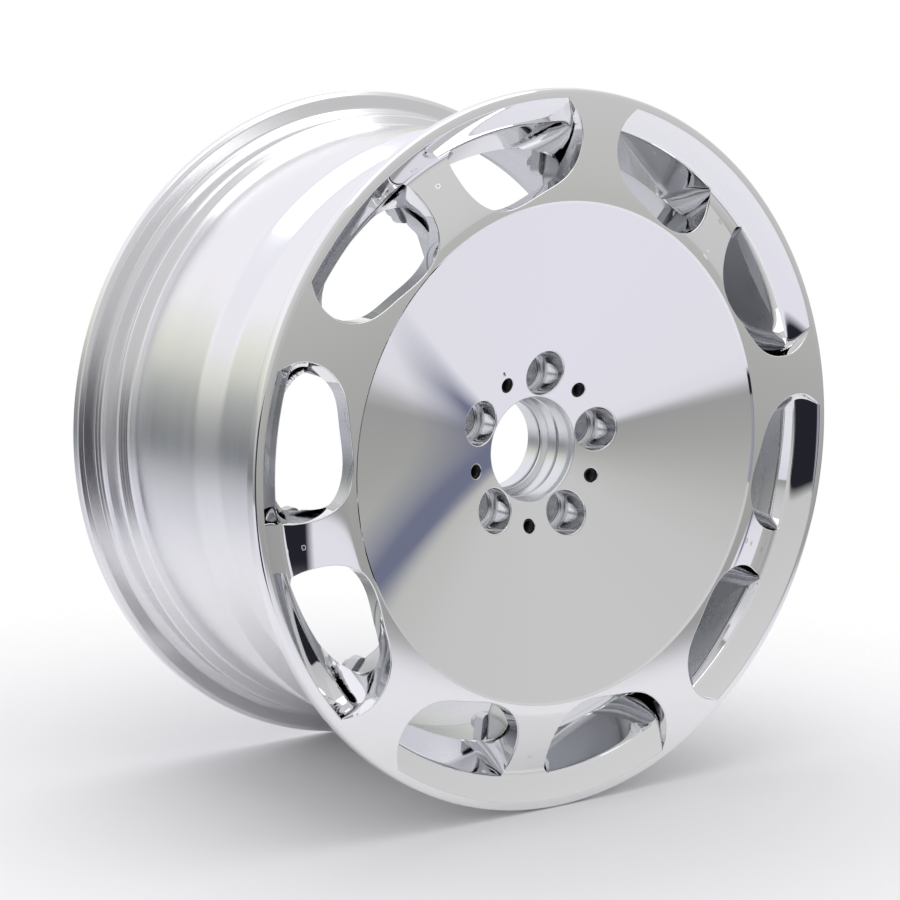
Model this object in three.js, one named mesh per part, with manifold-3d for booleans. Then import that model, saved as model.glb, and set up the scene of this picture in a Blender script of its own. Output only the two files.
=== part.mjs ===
// Forged racing wheel rim: a full-face forging bolted to a forged barrel, with hub hardware and a valve.
// Millimetres, +Z up, wheel axis along Y, polished face toward -Y, origin at the middle of the rim.
// "Depth" is the distance behind the front lip plane; "radius" is the distance from the wheel axis.
import * as THREE from 'three';
import { mergeVertices } from 'three/addons/utils/BufferGeometryUtils.js';
import Module from 'manifold-3d';

const wasm = await Module();
wasm.setup();

// Overall
const beadRadius = 241.3;
const rearDepth = 262.7;
const crownRise = 1.5;
const clocking = -5.8;
const spokePairs = 5;
const fitGap = 0.3;
const edgeBreak = 0.8;

// Facets round each kind of turned surface
const ringSegments = 48;
const boreSegments = 16;
const boltSegments = 8;
const hexSides = 6;
const sealSides = 6;

// Rim flanges, bead seats and safety humps
const flangeHeight = 17.3;
const flangeWidth = 11;
const flangeRound = 3.6;
const flangeFacet = 1.1;
const beadWidth = 19.8;
const beadTaper = 1.7;
const humpRise = 0.9;
const humpWidth = 6;
const flangeRadius = beadRadius + flangeHeight;

// Front lip, its bevel and the tapered bore of the ring behind it
const lipLand = 6.9;
const bevelLength = 18.7;
const bevelFootDepth = 13.4;
const bevelSag = 0.6;
const valleyInset = 18.4;
const ringBoreInset = 15.5;
const ringBackDepth = 27;
const lipEdgeRadius = flangeRadius - lipLand;
const bevelFootRadius = lipEdgeRadius - bevelLength;
const valleyRadius = lipEdgeRadius - valleyInset;
const ringBoreRadius = bevelFootRadius - ringBoreInset;

// Dish and hub of the forging
const ridgeRadius = 181.5;
const ridgeStep = 2.5;
const ridgeDrop = 1.3;
const boreEdgeRadius = 38.15;
const boreEdgeDepth = 39.6;
const dishCurve = 0.12;
const dishWall = 10;
const dishHaunchRadius = 150;
const discBackDepth = 12.5;
const ringHaunchInset = 12.5;
const ringHaunchDrop = 2;
const hubDepth = 90;
const hubRadius = 76;
const hubFilletWidth = 7;
const hubFilletDrop = 30;
const dishBackInset = 28;

// Centre bore, from the pad at the back to the lead-in at the front
const ringSeatRadius = 36.9;
const ringSeatLength = 14.3;
const boreLandStep = 2.4;
const boreLandLength = 2.7;
const landTaper = 3;
const capSeatRadius = 37.5;
const grooveInset = 13;
const grooveWidth = 3;
const grooveCut = 1.2;
const leadInLength = 12;
const hubBoreRadius = 33.3;
const ringSeatDepth = hubDepth - ringSeatLength;
const boreLandRadius = ringSeatRadius - boreLandStep;
const boreLandDepth = ringSeatDepth - boreLandLength;
const capSeatDepth = boreLandDepth - landTaper;
const grooveDepth = capSeatDepth - grooveInset;
const leadInDepth = grooveDepth - leadInLength;

// Lug holes, thread inserts and pad reliefs
const lugCircleRadius = 56;
const lugHoleRadius = 7.5;
const lugSeatWidth = 5.5;
const lugPocketWidth = 3;
const lugConeEdge = 1;
const lugConeLength = 8;
const lugSeatInset = 30;
const lugSeatLength = 12;
const insertRadius = 5;
const insertWall = 1.2;
const insertLength = 17;
const insertRecess = 1;
const reliefRadius = 11;
const reliefDepth = 30;
const lugSeatRadius = lugHoleRadius + lugSeatWidth;
const lugPocketRadius = lugSeatRadius + lugPocketWidth;
const lugConeRadius = lugSeatRadius - lugConeEdge;
const lugSeatDepth = hubDepth - lugSeatInset;

// Windows: each corner is an angle from the flush spoke and a radius, outer corners set from the
// lip and inner corners from the ridge round the dish
const lipCorner = { angle: 7.3, radius: lipEdgeRadius + 0.7 };
const upperWaist = { angle: 4.9, radius: lipEdgeRadius - 13.7 };
const waist = { angle: 4.2, radius: lipEdgeRadius - 25.7 };
const shoulder = { angle: 7.2, radius: ridgeRadius + 18.5 };
const hip = { angle: 14.4, radius: ridgeRadius + 7 };
const sill = { angle: 22.5, radius: ridgeRadius + 1.7 };
const heel = { angle: 28.4, radius: ridgeRadius + 8 };
const side = { angle: 31.4, radius: ridgeRadius + 26.5 };
const mouth = { angle: 31.3, radius: lipEdgeRadius - 13.7 };
const windowCurvePoints = 17;
const spokeTipDrop = 13.2;
const spokeDiveInset = 5.5;
const spokeDivePower = 1.35;
const spokeDiveRadius = ridgeRadius + spokeDiveInset;

// Bolts through the ears of the barrel into the pads behind the spokes
const jointDepth = 46;
const jointStep = 12.6;
const boltCircleInset = 11.5;
const boltRadius = 3.5;
const boltHeadWidth = 2.3;
const boltHeadHeight = 7;
const boltHeadSpace = 4.8;
const boltSocketRadius = 2.9;
const boltSocketDepth = 4;
const boltEngagement = 18;
const earEdge = 2;
const earInset = 9;
const earThickness = 10;
const earCorner = 5;
const padWall = 2.3;
const padInset = 16;
const jointRadius = beadRadius - beadTaper - jointStep;
const boltCircleRadius = ringBoreRadius - boltCircleInset;
const boltHeadRadius = boltRadius + boltHeadWidth;
const boltSpacing = 2 * boltHeadRadius + boltHeadSpace;
const earHalfWidth = boltSpacing / 2 + boltHeadRadius + earEdge;
const earInnerRadius = boltCircleRadius - earInset;
const padHalfWidth = boltSpacing / 2 + boltRadius + padWall;
const padInnerRadius = boltCircleRadius - padInset;

// Ribs behind the spokes, from the hub to the bolt pads
const ribHalfWidth = 9;
const ribBury = 6;
const ribHubBite = 2;
const ribHubDrop = 16;
const ribPadOverlap = 6;
const ringOverlap = 2;

// Seal between forging and barrel
const sealInset = 4.9;
const sealSection = 1.2;
const sealRadius = ringBoreRadius + sealInset;

// Barrel
const wallThickness = 4.8;
const flangeLand = 1;
const frontTaper = 4;
const wellDrop = 3;
const wellLength = 55;
const ledgeRise = 8;
const ledgeRun = 22;
const rearSeatLength = 40.7;
const rearHaunchRise = 3.3;
const rearHaunchLength = 22;
const rearLipInset = 4;
const wellRadius = jointRadius - wellDrop;
const wellStart = jointDepth + frontTaper;
const wellEnd = wellStart + wellLength;
const ledgeRadius = wellRadius + ledgeRise;
const ledgeStart = wellEnd + ledgeRun;
const ledgeEnd = rearDepth - rearSeatLength;

// Valve, standing inward from the well floor
const valveInset = 17;
const valveAngle = 18;
const valveSpoke = 4;
const stemRadius = 4.1;
const stemLength = 24;
const stemFlangeWidth = 3.9;
const stemFlangeThickness = 3;
const bossEdge = 3;
const bossDrop = 5.2;
const grommetThickness = 2;
const nutWidth = 2.9;
const nutThickness = 5;
const coreBoreRadius = 2.6;
const coreBoreStop = 5;
const airPassageRadius = 1.3;
const coreLength = 12;
const coreRecess = 2;
const pinRadius = 0.7;
const pinClearance = 0.4;
const pinStandOut = 1;
const pinRunOut = 2;
const pinDiscInset = 0.7;
const pinDiscThickness = 2;
const pinTravel = 1.5;
const capWall = 1.2;
const capOverlap = 11;
const valveDepth = wellEnd - valveInset;
const stemFlangeRadius = stemRadius + stemFlangeWidth;
const bossRadius = stemFlangeRadius + bossEdge;
const bossFace = wellRadius - wallThickness - bossDrop;
const stemTip = bossFace - stemLength;
const nutRadius = stemRadius + nutWidth;
const coreBoreEnd = bossFace + coreBoreStop;
const coreRadius = coreBoreRadius - fitGap;
const pinBoreRadius = pinRadius + pinClearance;
const pinDiscRadius = coreBoreRadius - pinDiscInset;
const capRadius = stemRadius + fitGap + capWall;

const frontStation = -(rearDepth + crownRise) / 2;
const windowPitch = 360 / spokePairs;
const halfway = 1 / 2;
const cutMargin = 8;
const cutStep = 1;
const weldTolerance = 1e-4;

function station(depth) {
  return frontStation + crownRise + depth;
}

function radians(degrees) {
  return THREE.MathUtils.degToRad(degrees);
}

function flushAngle(index) {
  return 90 + clocking + index * windowPitch;
}

function polar(radius, angle) {
  return new THREE.Vector2(radius * Math.cos(radians(angle)), radius * Math.sin(radians(angle)));
}

function solidFrom(geometry) {
  const bare = geometry.clone();
  bare.deleteAttribute('normal');
  bare.deleteAttribute('uv');
  const merged = mergeVertices(bare, weldTolerance);
  const vertProperties = new Float32Array(merged.attributes.position.array);
  const triVerts = new Uint32Array(merged.index.array);
  return new wasm.Manifold(new wasm.Mesh({ numProp: 3, vertProperties, triVerts }));
}

function meshFrom(name, solid, material) {
  const { vertProperties, triVerts } = solid.getMesh();
  const geometry = new THREE.BufferGeometry();
  geometry.setAttribute('position', new THREE.BufferAttribute(new Float32Array(vertProperties), 3));
  geometry.setIndex(new THREE.BufferAttribute(new Uint32Array(triVerts), 1));
  const mesh = new THREE.Mesh(geometry, material);
  mesh.name = name;
  return mesh;
}

// Closed ring about the wheel axis; the outline runs front to back outside, then back to front inside.
function ringSolid(outline, segments) {
  const points = outline.map(([radius, depth]) => new THREE.Vector2(radius, station(depth)));
  points.push(points[0].clone());
  return solidFrom(new THREE.LatheGeometry(points, segments));
}

// Closed ring about the valve axis; the outline is given as radius and distance from the wheel axis.
function valveRing(outline, segments) {
  const points = outline.map(([radius, reach]) => new THREE.Vector2(radius, reach));
  points.push(points[0].clone());
  return solidFrom(alongValve(new THREE.LatheGeometry(points, segments)));
}

function valveRod(radius, inner, outer, segments) {
  const rod = new THREE.CylinderGeometry(radius, radius, outer - inner, segments);
  rod.translate(0, (inner + outer) / 2, 0);
  return solidFrom(alongValve(rod));
}

function alongValve(geometry) {
  geometry.rotateZ(-Math.PI / 2);
  geometry.rotateY(-radians(flushAngle(valveSpoke) + valveAngle));
  return geometry.translate(0, station(valveDepth), 0);
}

function prismSolid(outline, frontDepth, backDepth) {
  const body = new THREE.ExtrudeGeometry(new THREE.Shape(outline), {
    depth: backDepth - frontDepth,
    bevelEnabled: false,
  });
  body.rotateX(Math.PI / 2);
  body.translate(0, station(backDepth), 0);
  return solidFrom(body);
}

function rodSolid(radius, frontDepth, backDepth, centre, segments) {
  const rod = new THREE.CylinderGeometry(radius, radius, backDepth - frontDepth, segments);
  rod.translate(centre.x, station((frontDepth + backDepth) / 2), centre.y);
  return solidFrom(rod);
}

function joined(solids) {
  return solids.reduce((sum, solid) => sum.add(solid));
}

function dishDepth(radius) {
  const outer = ridgeRadius - ridgeStep;
  const run = (outer - radius) / (outer - boreEdgeRadius);
  const start = ridgeDrop - crownRise;
  return start + (boreEdgeDepth - start) * run * (1 + dishCurve * (1 - run));
}

function dishBackDepth(radius) {
  return dishDepth(radius) + dishWall;
}

function bevelDepth(radius) {
  const run = (lipEdgeRadius - radius) / (lipEdgeRadius - bevelFootRadius);
  return bevelFootDepth * run + 4 * bevelSag * run * (1 - run);
}

function recessDepth(radius) {
  const run = (radius - spokeDiveRadius) / (valleyRadius - spokeDiveRadius);
  return (spokeTipDrop + crownRise) * run ** spokeDivePower - crownRise;
}

function crownDepth(radius) {
  const run = (radius - ridgeRadius) / (lipEdgeRadius - ridgeRadius);
  return -crownRise * (1 - run * run);
}

function spread(from, to, count, depthAt) {
  return Array.from({ length: count + 1 }, (_, step) => {
    const radius = from + (to - from) * step / count;
    return [radius, depthAt(radius)];
  });
}

function flangeOutline() {
  return [
    [lipEdgeRadius, 0],
    [flangeRadius - flangeRound, 0],
    [flangeRadius - flangeFacet, flangeFacet],
    [flangeRadius, flangeRound],
    [flangeRadius, flangeWidth - flangeRound],
    [flangeRadius - flangeRound, flangeWidth],
    [beadRadius + flangeRound, flangeWidth + edgeBreak],
  ];
}

function faceOutline() {
  const beadEnd = flangeWidth + beadWidth;
  const discEdge = [ridgeRadius - ridgeStep, ridgeDrop - crownRise];
  return [
    ...flangeOutline(),
    [beadRadius, flangeWidth + flangeRound],
    [beadRadius - beadTaper, beadEnd],
    [beadRadius - beadTaper + humpRise, beadEnd + humpWidth / 2],
    [beadRadius - beadTaper, beadEnd + humpWidth],
    [jointRadius, jointDepth - flangeLand],
    [jointRadius, jointDepth],
    [ringBoreRadius, jointDepth],
    [ringBoreRadius, ringBackDepth],
    [ringBoreRadius - ringHaunchInset, discBackDepth + ringHaunchDrop],
    [sill.radius, discBackDepth],
    ...spread(dishHaunchRadius, hubRadius + dishBackInset, 1, dishBackDepth),
    [hubRadius + hubFilletWidth, hubDepth - hubFilletDrop],
    [hubRadius, hubDepth],
    [ringSeatRadius + edgeBreak, hubDepth],
    [ringSeatRadius, hubDepth - edgeBreak],
    [ringSeatRadius, ringSeatDepth],
    [boreLandRadius, ringSeatDepth],
    [boreLandRadius, boreLandDepth],
    [capSeatRadius, capSeatDepth],
    [capSeatRadius, grooveDepth + grooveWidth],
    [capSeatRadius + grooveCut, grooveDepth + grooveWidth / 2],
    [capSeatRadius, grooveDepth],
    [capSeatRadius, leadInDepth],
    ...spread(boreEdgeRadius, ridgeRadius - ridgeStep, 5, dishDepth).slice(0, -1),
    discEdge,
    [ridgeRadius, -crownRise],
    ...spread(ridgeRadius, lipEdgeRadius, 2, crownDepth).slice(1, -1),
  ];
}

// Edge of one window from the lip corner round the sill to the recessed spoke.
function windowEdge() {
  const corners = [lipCorner, upperWaist, waist, shoulder, hip, sill, heel, side, mouth];
  const knots = corners.map(({ angle, radius }) => new THREE.Vector2(angle, radius));
  return new THREE.SplineCurve(knots).getPoints(windowCurvePoints);
}

function placeEdge(edge, centre, mirror) {
  return edge.map((knot) => polar(knot.y, centre + mirror * knot.x));
}

function arcPoints(radius, from, to, count) {
  return spread(from, to, count, () => radius).map(([angle]) => polar(radius, angle));
}

function windowPrism(centre, mirror) {
  const edge = windowEdge().filter((knot) => knot.y < mouth.radius + cutStep);
  return prismSolid(placeEdge(edge, centre, mirror), -cutMargin, hubDepth);
}

function pairPrism(index) {
  const edge = windowEdge().filter((knot) => knot.x <= sill.angle);
  const start = flushAngle(index);
  const near = placeEdge(edge, start, 1);
  const end = start + windowPitch;
  const far = placeEdge(edge, end, -1).reverse();
  const sillArc = arcPoints(sill.radius, start + sill.angle, end - sill.angle, 4).slice(1, -1);
  const outerArc = arcPoints(flangeRadius + cutMargin, end - lipCorner.angle, start + lipCorner.angle, 6);
  return prismSolid([...near, ...sillArc, ...far, ...outerArc.slice(1, -1)], -cutMargin, hubDepth);
}

function pocketCutter() {
  const prisms = Array.from({ length: spokePairs }, (_, index) => pairPrism(index));
  const floor = [
    ...spread(spokeDiveRadius, valleyRadius, 4, recessDepth),
    ...spread(valleyRadius, lipEdgeRadius, 3, bevelDepth).slice(1),
  ];
  const sweep = ringSolid([
    [spokeDiveRadius, -cutMargin],
    [flangeRadius + cutMargin, -cutMargin],
    ...floor.reverse(),
  ], ringSegments);
  return joined(prisms).intersect(sweep);
}

function windowCutter() {
  const prisms = Array.from({ length: spokePairs }, (_, index) => [
    windowPrism(flushAngle(index), 1),
    windowPrism(flushAngle(index), -1),
  ]).flat();
  const sweep = ringSolid([
    [sill.radius - cutMargin, -cutMargin],
    [valleyRadius, -cutMargin],
    [valleyRadius, bevelDepth(valleyRadius)],
    [bevelFootRadius, bevelFootDepth],
    [ringBoreRadius, jointDepth],
    [ringBoreRadius, hubDepth - cutStep],
    [sill.radius - cutMargin, hubDepth - cutStep],
  ], ringSegments);
  return joined(prisms).intersect(sweep);
}

function spokeAngles() {
  return Array.from({ length: spokePairs * 2 }, (_, index) => flushAngle(index * halfway));
}

// Block behind a spoke, drawn from the side as radius and depth and thickened across the spoke.
function blockSolid(outline, halfWidth, angle) {
  const shape = new THREE.Shape(outline.map(([radius, depth]) => new THREE.Vector2(radius, station(depth))));
  const block = new THREE.ExtrudeGeometry(shape, { depth: 2 * halfWidth, bevelEnabled: false });
  block.translate(0, 0, -halfWidth);
  block.rotateY(-radians(angle));
  return solidFrom(block);
}

function ribSolid(angle) {
  const hubEnd = hubRadius - ribHubBite;
  return blockSolid([
    [padInnerRadius + ribPadOverlap, recessDepth(padInnerRadius + ribPadOverlap) + ribBury],
    [padInnerRadius + ribPadOverlap, jointDepth],
    [hubEnd, hubDepth - ribHubDrop],
    [hubEnd, dishDepth(hubEnd) + ribBury],
    [dishHaunchRadius, dishDepth(dishHaunchRadius) + ribBury],
    [sill.radius, ribBury],
  ], ribHalfWidth, angle);
}

function padSolid(angle) {
  const outer = ringBoreRadius + ringOverlap;
  return blockSolid([
    [outer, recessDepth(outer) + ribBury],
    [outer, jointDepth],
    [padInnerRadius + ribPadOverlap, jointDepth],
    [padInnerRadius, jointDepth - ribPadOverlap],
    [padInnerRadius, recessDepth(padInnerRadius) + ribBury],
  ], padHalfWidth, angle);
}

function boltCentres(angle) {
  const radial = polar(boltCircleRadius, angle);
  const across = polar(boltSpacing / 2, angle + 90);
  return [radial.clone().add(across), radial.clone().sub(across)];
}

function wheelFace() {
  const ribs = spokeAngles().flatMap((angle) => [ribSolid(angle), padSolid(angle)]);
  const boltHoles = spokeAngles().flatMap(boltCentres).map((centre) => rodSolid(
    boltRadius + fitGap,
    jointDepth - boltEngagement - fitGap,
    jointDepth + cutStep,
    centre,
    boltSegments,
  ));
  const lugHoles = Array.from({ length: spokePairs }, (_, index) => {
    const centre = polar(lugCircleRadius, flushAngle(index));
    const seatEnd = lugSeatDepth + lugSeatLength + fitGap;
    return joined([
      rodSolid(lugPocketRadius, 0, lugSeatDepth, centre, boreSegments),
      rodSolid(lugSeatRadius + fitGap, lugSeatDepth - cutStep, seatEnd, centre, boreSegments),
      rodSolid(lugHoleRadius + fitGap, seatEnd - cutStep, hubDepth + cutStep, centre, boreSegments),
    ]);
  });
  const smallHoles = Array.from({ length: spokePairs }, (_, index) => {
    const centre = polar(lugCircleRadius, flushAngle(index + halfway));
    const holeEnd = dishDepth(lugCircleRadius) + insertRecess + insertLength + cutStep;
    return joined([
      rodSolid(insertRadius + fitGap, 0, holeEnd, centre, boreSegments),
      rodSolid(reliefRadius, hubDepth - reliefDepth, hubDepth + cutStep, centre, boreSegments),
    ]);
  });
  return ringSolid(faceOutline(), ringSegments)
    .subtract(pocketCutter())
    .subtract(windowCutter())
    .add(joined(ribs))
    .subtract(joined([...boltHoles, ...lugHoles, ...smallHoles]));
}

function barrelOutline() {
  const front = jointDepth + fitGap;
  const grooveHalf = sealSection + fitGap;
  const grooveEnd = front + 2 * sealSection + fitGap;
  const hump = ledgeEnd + humpWidth;
  const rear = flangeOutline().reverse().map(([radius, depth]) => [radius, rearDepth - depth]);
  return [
    [jointRadius, front],
    [wellRadius, wellStart],
    [wellRadius, wellEnd],
    [ledgeRadius, ledgeStart],
    [ledgeRadius, ledgeEnd],
    [beadRadius - beadTaper + humpRise, hump],
    [beadRadius - beadTaper, hump + humpWidth / 2],
    [beadRadius, rearDepth - flangeWidth - flangeRound],
    ...rear,
    [lipEdgeRadius - rearLipInset, rearDepth - edgeBreak],
    [ledgeRadius - wallThickness + rearHaunchRise, rearDepth - rearHaunchLength],
    [ledgeRadius - wallThickness, ledgeEnd],
    [ledgeRadius - wallThickness, ledgeStart],
    [wellRadius - wallThickness, wellEnd],
    [wellRadius - wallThickness, front + earThickness],
    [ringBoreRadius, front + earThickness - frontTaper],
    [ringBoreRadius, front],
    [sealRadius - grooveHalf, front],
    [sealRadius - grooveHalf, grooveEnd],
    [sealRadius + grooveHalf, grooveEnd],
    [sealRadius + grooveHalf, front],
  ];
}

function earSolid(angle) {
  const outline = [
    [earInnerRadius + earCorner, -earHalfWidth],
    [ringBoreRadius + ringOverlap, -earHalfWidth],
    [ringBoreRadius + ringOverlap, earHalfWidth],
    [earInnerRadius + earCorner, earHalfWidth],
    [earInnerRadius, earHalfWidth - earCorner],
    [earInnerRadius, earCorner - earHalfWidth],
  ];
  const turned = outline.map(([along, across]) => polar(along, angle).add(polar(across, angle + 90)));
  const front = jointDepth + fitGap;
  return prismSolid(turned, front, front + earThickness);
}

function barrel() {
  const earBack = jointDepth + fitGap + earThickness;
  const boltHoles = spokeAngles().flatMap(boltCentres).map((centre) => rodSolid(
    boltRadius + fitGap,
    jointDepth,
    earBack + cutStep,
    centre,
    boltSegments,
  ));
  const ears = spokeAngles().map(earSolid);
  const boss = valveRod(bossRadius, bossFace, wellRadius - wallThickness + ringOverlap, boreSegments);
  const stemHole = valveRod(stemRadius + fitGap, bossFace - cutStep, wellRadius + cutStep, boreSegments);
  return ringSolid(barrelOutline(), ringSegments)
    .add(joined(ears))
    .add(boss)
    .subtract(joined([...boltHoles, stemHole]));
}

function rimSeal() {
  const centreDepth = jointDepth + fitGap + sealSection;
  const outline = Array.from({ length: sealSides }, (_, side) => {
    const turn = 2 * Math.PI * side / sealSides;
    return [sealRadius + sealSection * Math.cos(turn), centreDepth + sealSection * Math.sin(turn)];
  });
  return ringSolid(outline, ringSegments);
}

function assemblyBolt(centre) {
  const seat = jointDepth + 2 * fitGap + earThickness;
  const top = seat + boltHeadHeight;
  const shank = rodSolid(boltRadius, jointDepth - boltEngagement, seat + cutStep, centre, boltSegments);
  const head = rodSolid(boltHeadRadius, seat, top, centre, boltSegments);
  const socket = rodSolid(boltSocketRadius, top - boltSocketDepth, top + cutStep, centre, hexSides);
  return shank.add(head).subtract(socket);
}

function lugSeat(centre) {
  const front = lugSeatDepth + fitGap;
  const body = rodSolid(lugSeatRadius, front, lugSeatDepth + lugSeatLength, centre, boreSegments);
  const cone = new THREE.CylinderGeometry(lugHoleRadius, lugConeRadius, lugConeLength, boreSegments);
  cone.translate(centre.x, station(front + lugConeLength / 2), centre.y);
  const hole = rodSolid(lugHoleRadius, front - cutStep, hubDepth, centre, boreSegments);
  return body.subtract(solidFrom(cone)).subtract(hole);
}

function threadInsert(centre) {
  const front = dishDepth(lugCircleRadius) + insertRecess;
  const back = front + insertLength;
  const bore = rodSolid(insertRadius - insertWall, front - cutStep, back + cutStep, centre, boreSegments);
  return rodSolid(insertRadius, front, back, centre, boreSegments).subtract(bore);
}

function hubRing() {
  return ringSolid([
    [ringSeatRadius - fitGap, ringSeatDepth + fitGap],
    [ringSeatRadius - fitGap, hubDepth - fitGap],
    [hubBoreRadius + edgeBreak, hubDepth - fitGap],
    [hubBoreRadius, hubDepth - fitGap - edgeBreak],
    [hubBoreRadius, ringSeatDepth + fitGap],
  ], ringSegments);
}

function valveGrommet() {
  const seat = wellRadius + fitGap;
  return valveRing([
    [stemRadius + fitGap, seat],
    [stemFlangeRadius, seat],
    [stemFlangeRadius, seat + grommetThickness],
    [stemRadius + fitGap, seat + grommetThickness],
  ], boreSegments);
}

function valveStem() {
  const flange = wellRadius + grommetThickness + 2 * fitGap;
  const top = flange + stemFlangeThickness;
  return valveRod(stemRadius, stemTip, flange + cutStep, boreSegments)
    .add(valveRod(stemFlangeRadius, flange, top, boreSegments))
    .subtract(valveRod(coreBoreRadius, stemTip - cutStep, coreBoreEnd, boltSegments))
    .subtract(valveRod(airPassageRadius, coreBoreEnd - cutStep, top + cutStep, boltSegments));
}

function valveNut() {
  const inner = bossFace - fitGap - nutThickness;
  return valveRod(nutRadius, inner, bossFace - fitGap, hexSides)
    .subtract(valveRod(stemRadius + fitGap, inner - cutStep, bossFace, boreSegments));
}

function valveCore() {
  const start = stemTip + coreRecess;
  return valveRing([
    [pinBoreRadius, start],
    [coreRadius, start],
    [coreRadius, start + coreLength],
    [pinBoreRadius, start + coreLength],
  ], boltSegments);
}

function valvePin() {
  const coreEnd = stemTip + coreRecess + coreLength;
  const disc = coreEnd + fitGap;
  const start = stemTip + coreRecess - pinStandOut;
  return valveRod(pinRadius, start, coreBoreEnd - pinTravel - pinRunOut, boltSegments)
    .add(valveRod(pinDiscRadius, disc, disc + pinDiscThickness, boltSegments));
}

function valveCap() {
  const inner = stemTip - capWall - pinStandOut;
  const mouthEnd = stemTip + capOverlap;
  return valveRod(capRadius, inner, mouthEnd, boreSegments)
    .subtract(valveRod(stemRadius + fitGap, inner + capWall, mouthEnd + cutStep, boreSegments));
}

function metal(colour, roughness) {
  return new THREE.MeshStandardMaterial({ color: colour, metalness: 1, roughness });
}

function rubber() {
  return new THREE.MeshStandardMaterial({ color: 0x1b1b1c, metalness: 0, roughness: 0.8 });
}

const polishedAlloy = () => metal(0xd9d9dc, 0.05);
const turnedAlloy = () => metal(0xcfcfd2, 0.25);
const ringAlloy = () => metal(0xb9bbc0, 0.3);
const zincSteel = () => metal(0x9a9ca0, 0.35);
const blackSteel = () => metal(0x3a3b3e, 0.45);
const brass = () => metal(0xc8a35a, 0.3);

function add(group, name, solid, material) {
  group.add(meshFrom(name, solid, material));
}

const wheel = new THREE.Group();
wheel.name = 'forged_wheel_rim';
add(wheel, 'wheel_face', wheelFace(), polishedAlloy());
add(wheel, 'barrel', barrel(), turnedAlloy());
add(wheel, 'rim_seal', rimSeal(), rubber());
add(wheel, 'hub_ring', hubRing(), ringAlloy());
for (let index = 0; index < spokePairs; index += 1) {
  const lugCentre = polar(lugCircleRadius, flushAngle(index));
  const insertCentre = polar(lugCircleRadius, flushAngle(index + halfway));
  add(wheel, `lug_seat_${index + 1}`, lugSeat(lugCentre), zincSteel());
  add(wheel, `thread_insert_${index + 1}`, threadInsert(insertCentre), blackSteel());
}
spokeAngles().flatMap(boltCentres).forEach((centre, index) => {
  const number = String(index + 1).padStart(2, '0');
  add(wheel, `rim_bolt_${number}`, assemblyBolt(centre), zincSteel());
});
add(wheel, 'valve_grommet', valveGrommet(), rubber());
add(wheel, 'valve_stem', valveStem(), ringAlloy());
add(wheel, 'valve_nut', valveNut(), zincSteel());
add(wheel, 'valve_core', valveCore(), brass());
add(wheel, 'valve_pin', valvePin(), brass());
add(wheel, 'valve_cap', valveCap(), ringAlloy());

export default wheel;
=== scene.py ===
"""Looks of the forged wheel rim: mirror-polished face, turned barrel, hub hardware and valve."""

import math

import bpy
import numpy as np
from mathutils import Matrix, Vector
from mathutils.geometry import delaunay_2d_cdt


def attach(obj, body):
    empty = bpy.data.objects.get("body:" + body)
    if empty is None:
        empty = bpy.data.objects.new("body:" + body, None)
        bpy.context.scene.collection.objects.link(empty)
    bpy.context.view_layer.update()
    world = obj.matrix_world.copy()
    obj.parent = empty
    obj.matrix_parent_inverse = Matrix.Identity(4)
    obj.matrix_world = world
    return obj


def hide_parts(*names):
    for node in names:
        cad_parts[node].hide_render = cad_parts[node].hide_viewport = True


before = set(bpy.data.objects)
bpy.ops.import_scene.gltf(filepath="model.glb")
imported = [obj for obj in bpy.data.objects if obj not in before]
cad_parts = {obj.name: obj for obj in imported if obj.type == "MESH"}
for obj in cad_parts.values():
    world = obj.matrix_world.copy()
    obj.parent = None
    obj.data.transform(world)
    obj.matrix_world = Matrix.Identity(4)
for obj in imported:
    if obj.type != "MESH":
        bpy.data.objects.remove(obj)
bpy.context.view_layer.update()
MM = 0.001

# ---------------------------------------------------------------- sizes, in millimetres
SPOKE_PAIRS = 5
CLOCKING = -5.8
REAR_DEPTH = 262.7
CROWN_RISE = 1.5
FLANGE_R = 258.6
FLANGE_WIDTH = 11.0
BEAD_R = 241.3
BEAD_WIDTH = 19.8
LIP_EDGE_R = 251.7
RIDGE_R = 181.5
DISH_R = 179.0
DISH_START = -0.2
DISH_CURVE = 0.12
BORE_EDGE_R = 38.15
BORE_EDGE_DEPTH = 39.6
BEVEL_FOOT_R = 236.0
BEVEL_FOOT_DEPTH = 11.0
BEVEL_SAG = 0.7
BEVEL_ROLL = 1.0
RING_MOUTH_R = 234.0
RING_MOUTH_DEPTH = 14.0
TIP_R = 230.4
TIP_DEPTH = 12.0
TROUGH_END_R = 236.3
DIVE_R = 187.0
DIVE_POWER = 1.35
RING_BORE_R = 217.5
JOINT_DEPTH = 46.0
JOINT_R = 227.0
DISH_WALL = 10.0
EDGE_ROUND = 0.8
HUB_DEPTH = 90.0
HUB_R = 76.0
LUG_CIRCLE = 56.0
LUG_POCKET_R = 16.0
LUG_SEAT_DEPTH = 60.0
INSERT_HOLE_R = 5.3
RELIEF_R = 11.0
RELIEF_DEPTH = 30.0
LUG_HOLE_R = 7.8
LUG_EDGE = 0.9
INSERT_EDGE = 0.5
CELL = 36.0
LIP_ROUND = 0.5
CROWN_OUT_R = 253.5
PLATE_BACK = 12.5
PLATE_IN_R = 176.0
BORE_BACK_R = 37.7
PAD_EDGE = 1.5
LUG_FLAT_R = 78.0
PLATE_THICK_R = 188.0
BOLT_INSET = 7.8
BOLT_R = 3.5
BOLT_HEAD_R = 5.8
BOLT_SOCKET_R = 3.35
STEM_R = 4.1
FIT_GAP = 0.3
WELL_R = 224.0
WELL_END = 105.0
LEDGE_R = 232.0
LEDGE_END = 222.0
BARREL_WALL = 4.8
BOLT_CIRCLE = 206.0
EAR_HALF = 16.0
EAR_DEPTH = 10.0
BOSS_FACE = 214.0
VALVE_DEPTH = 88.0
VALVE_ANGLE = 30.2

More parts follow.
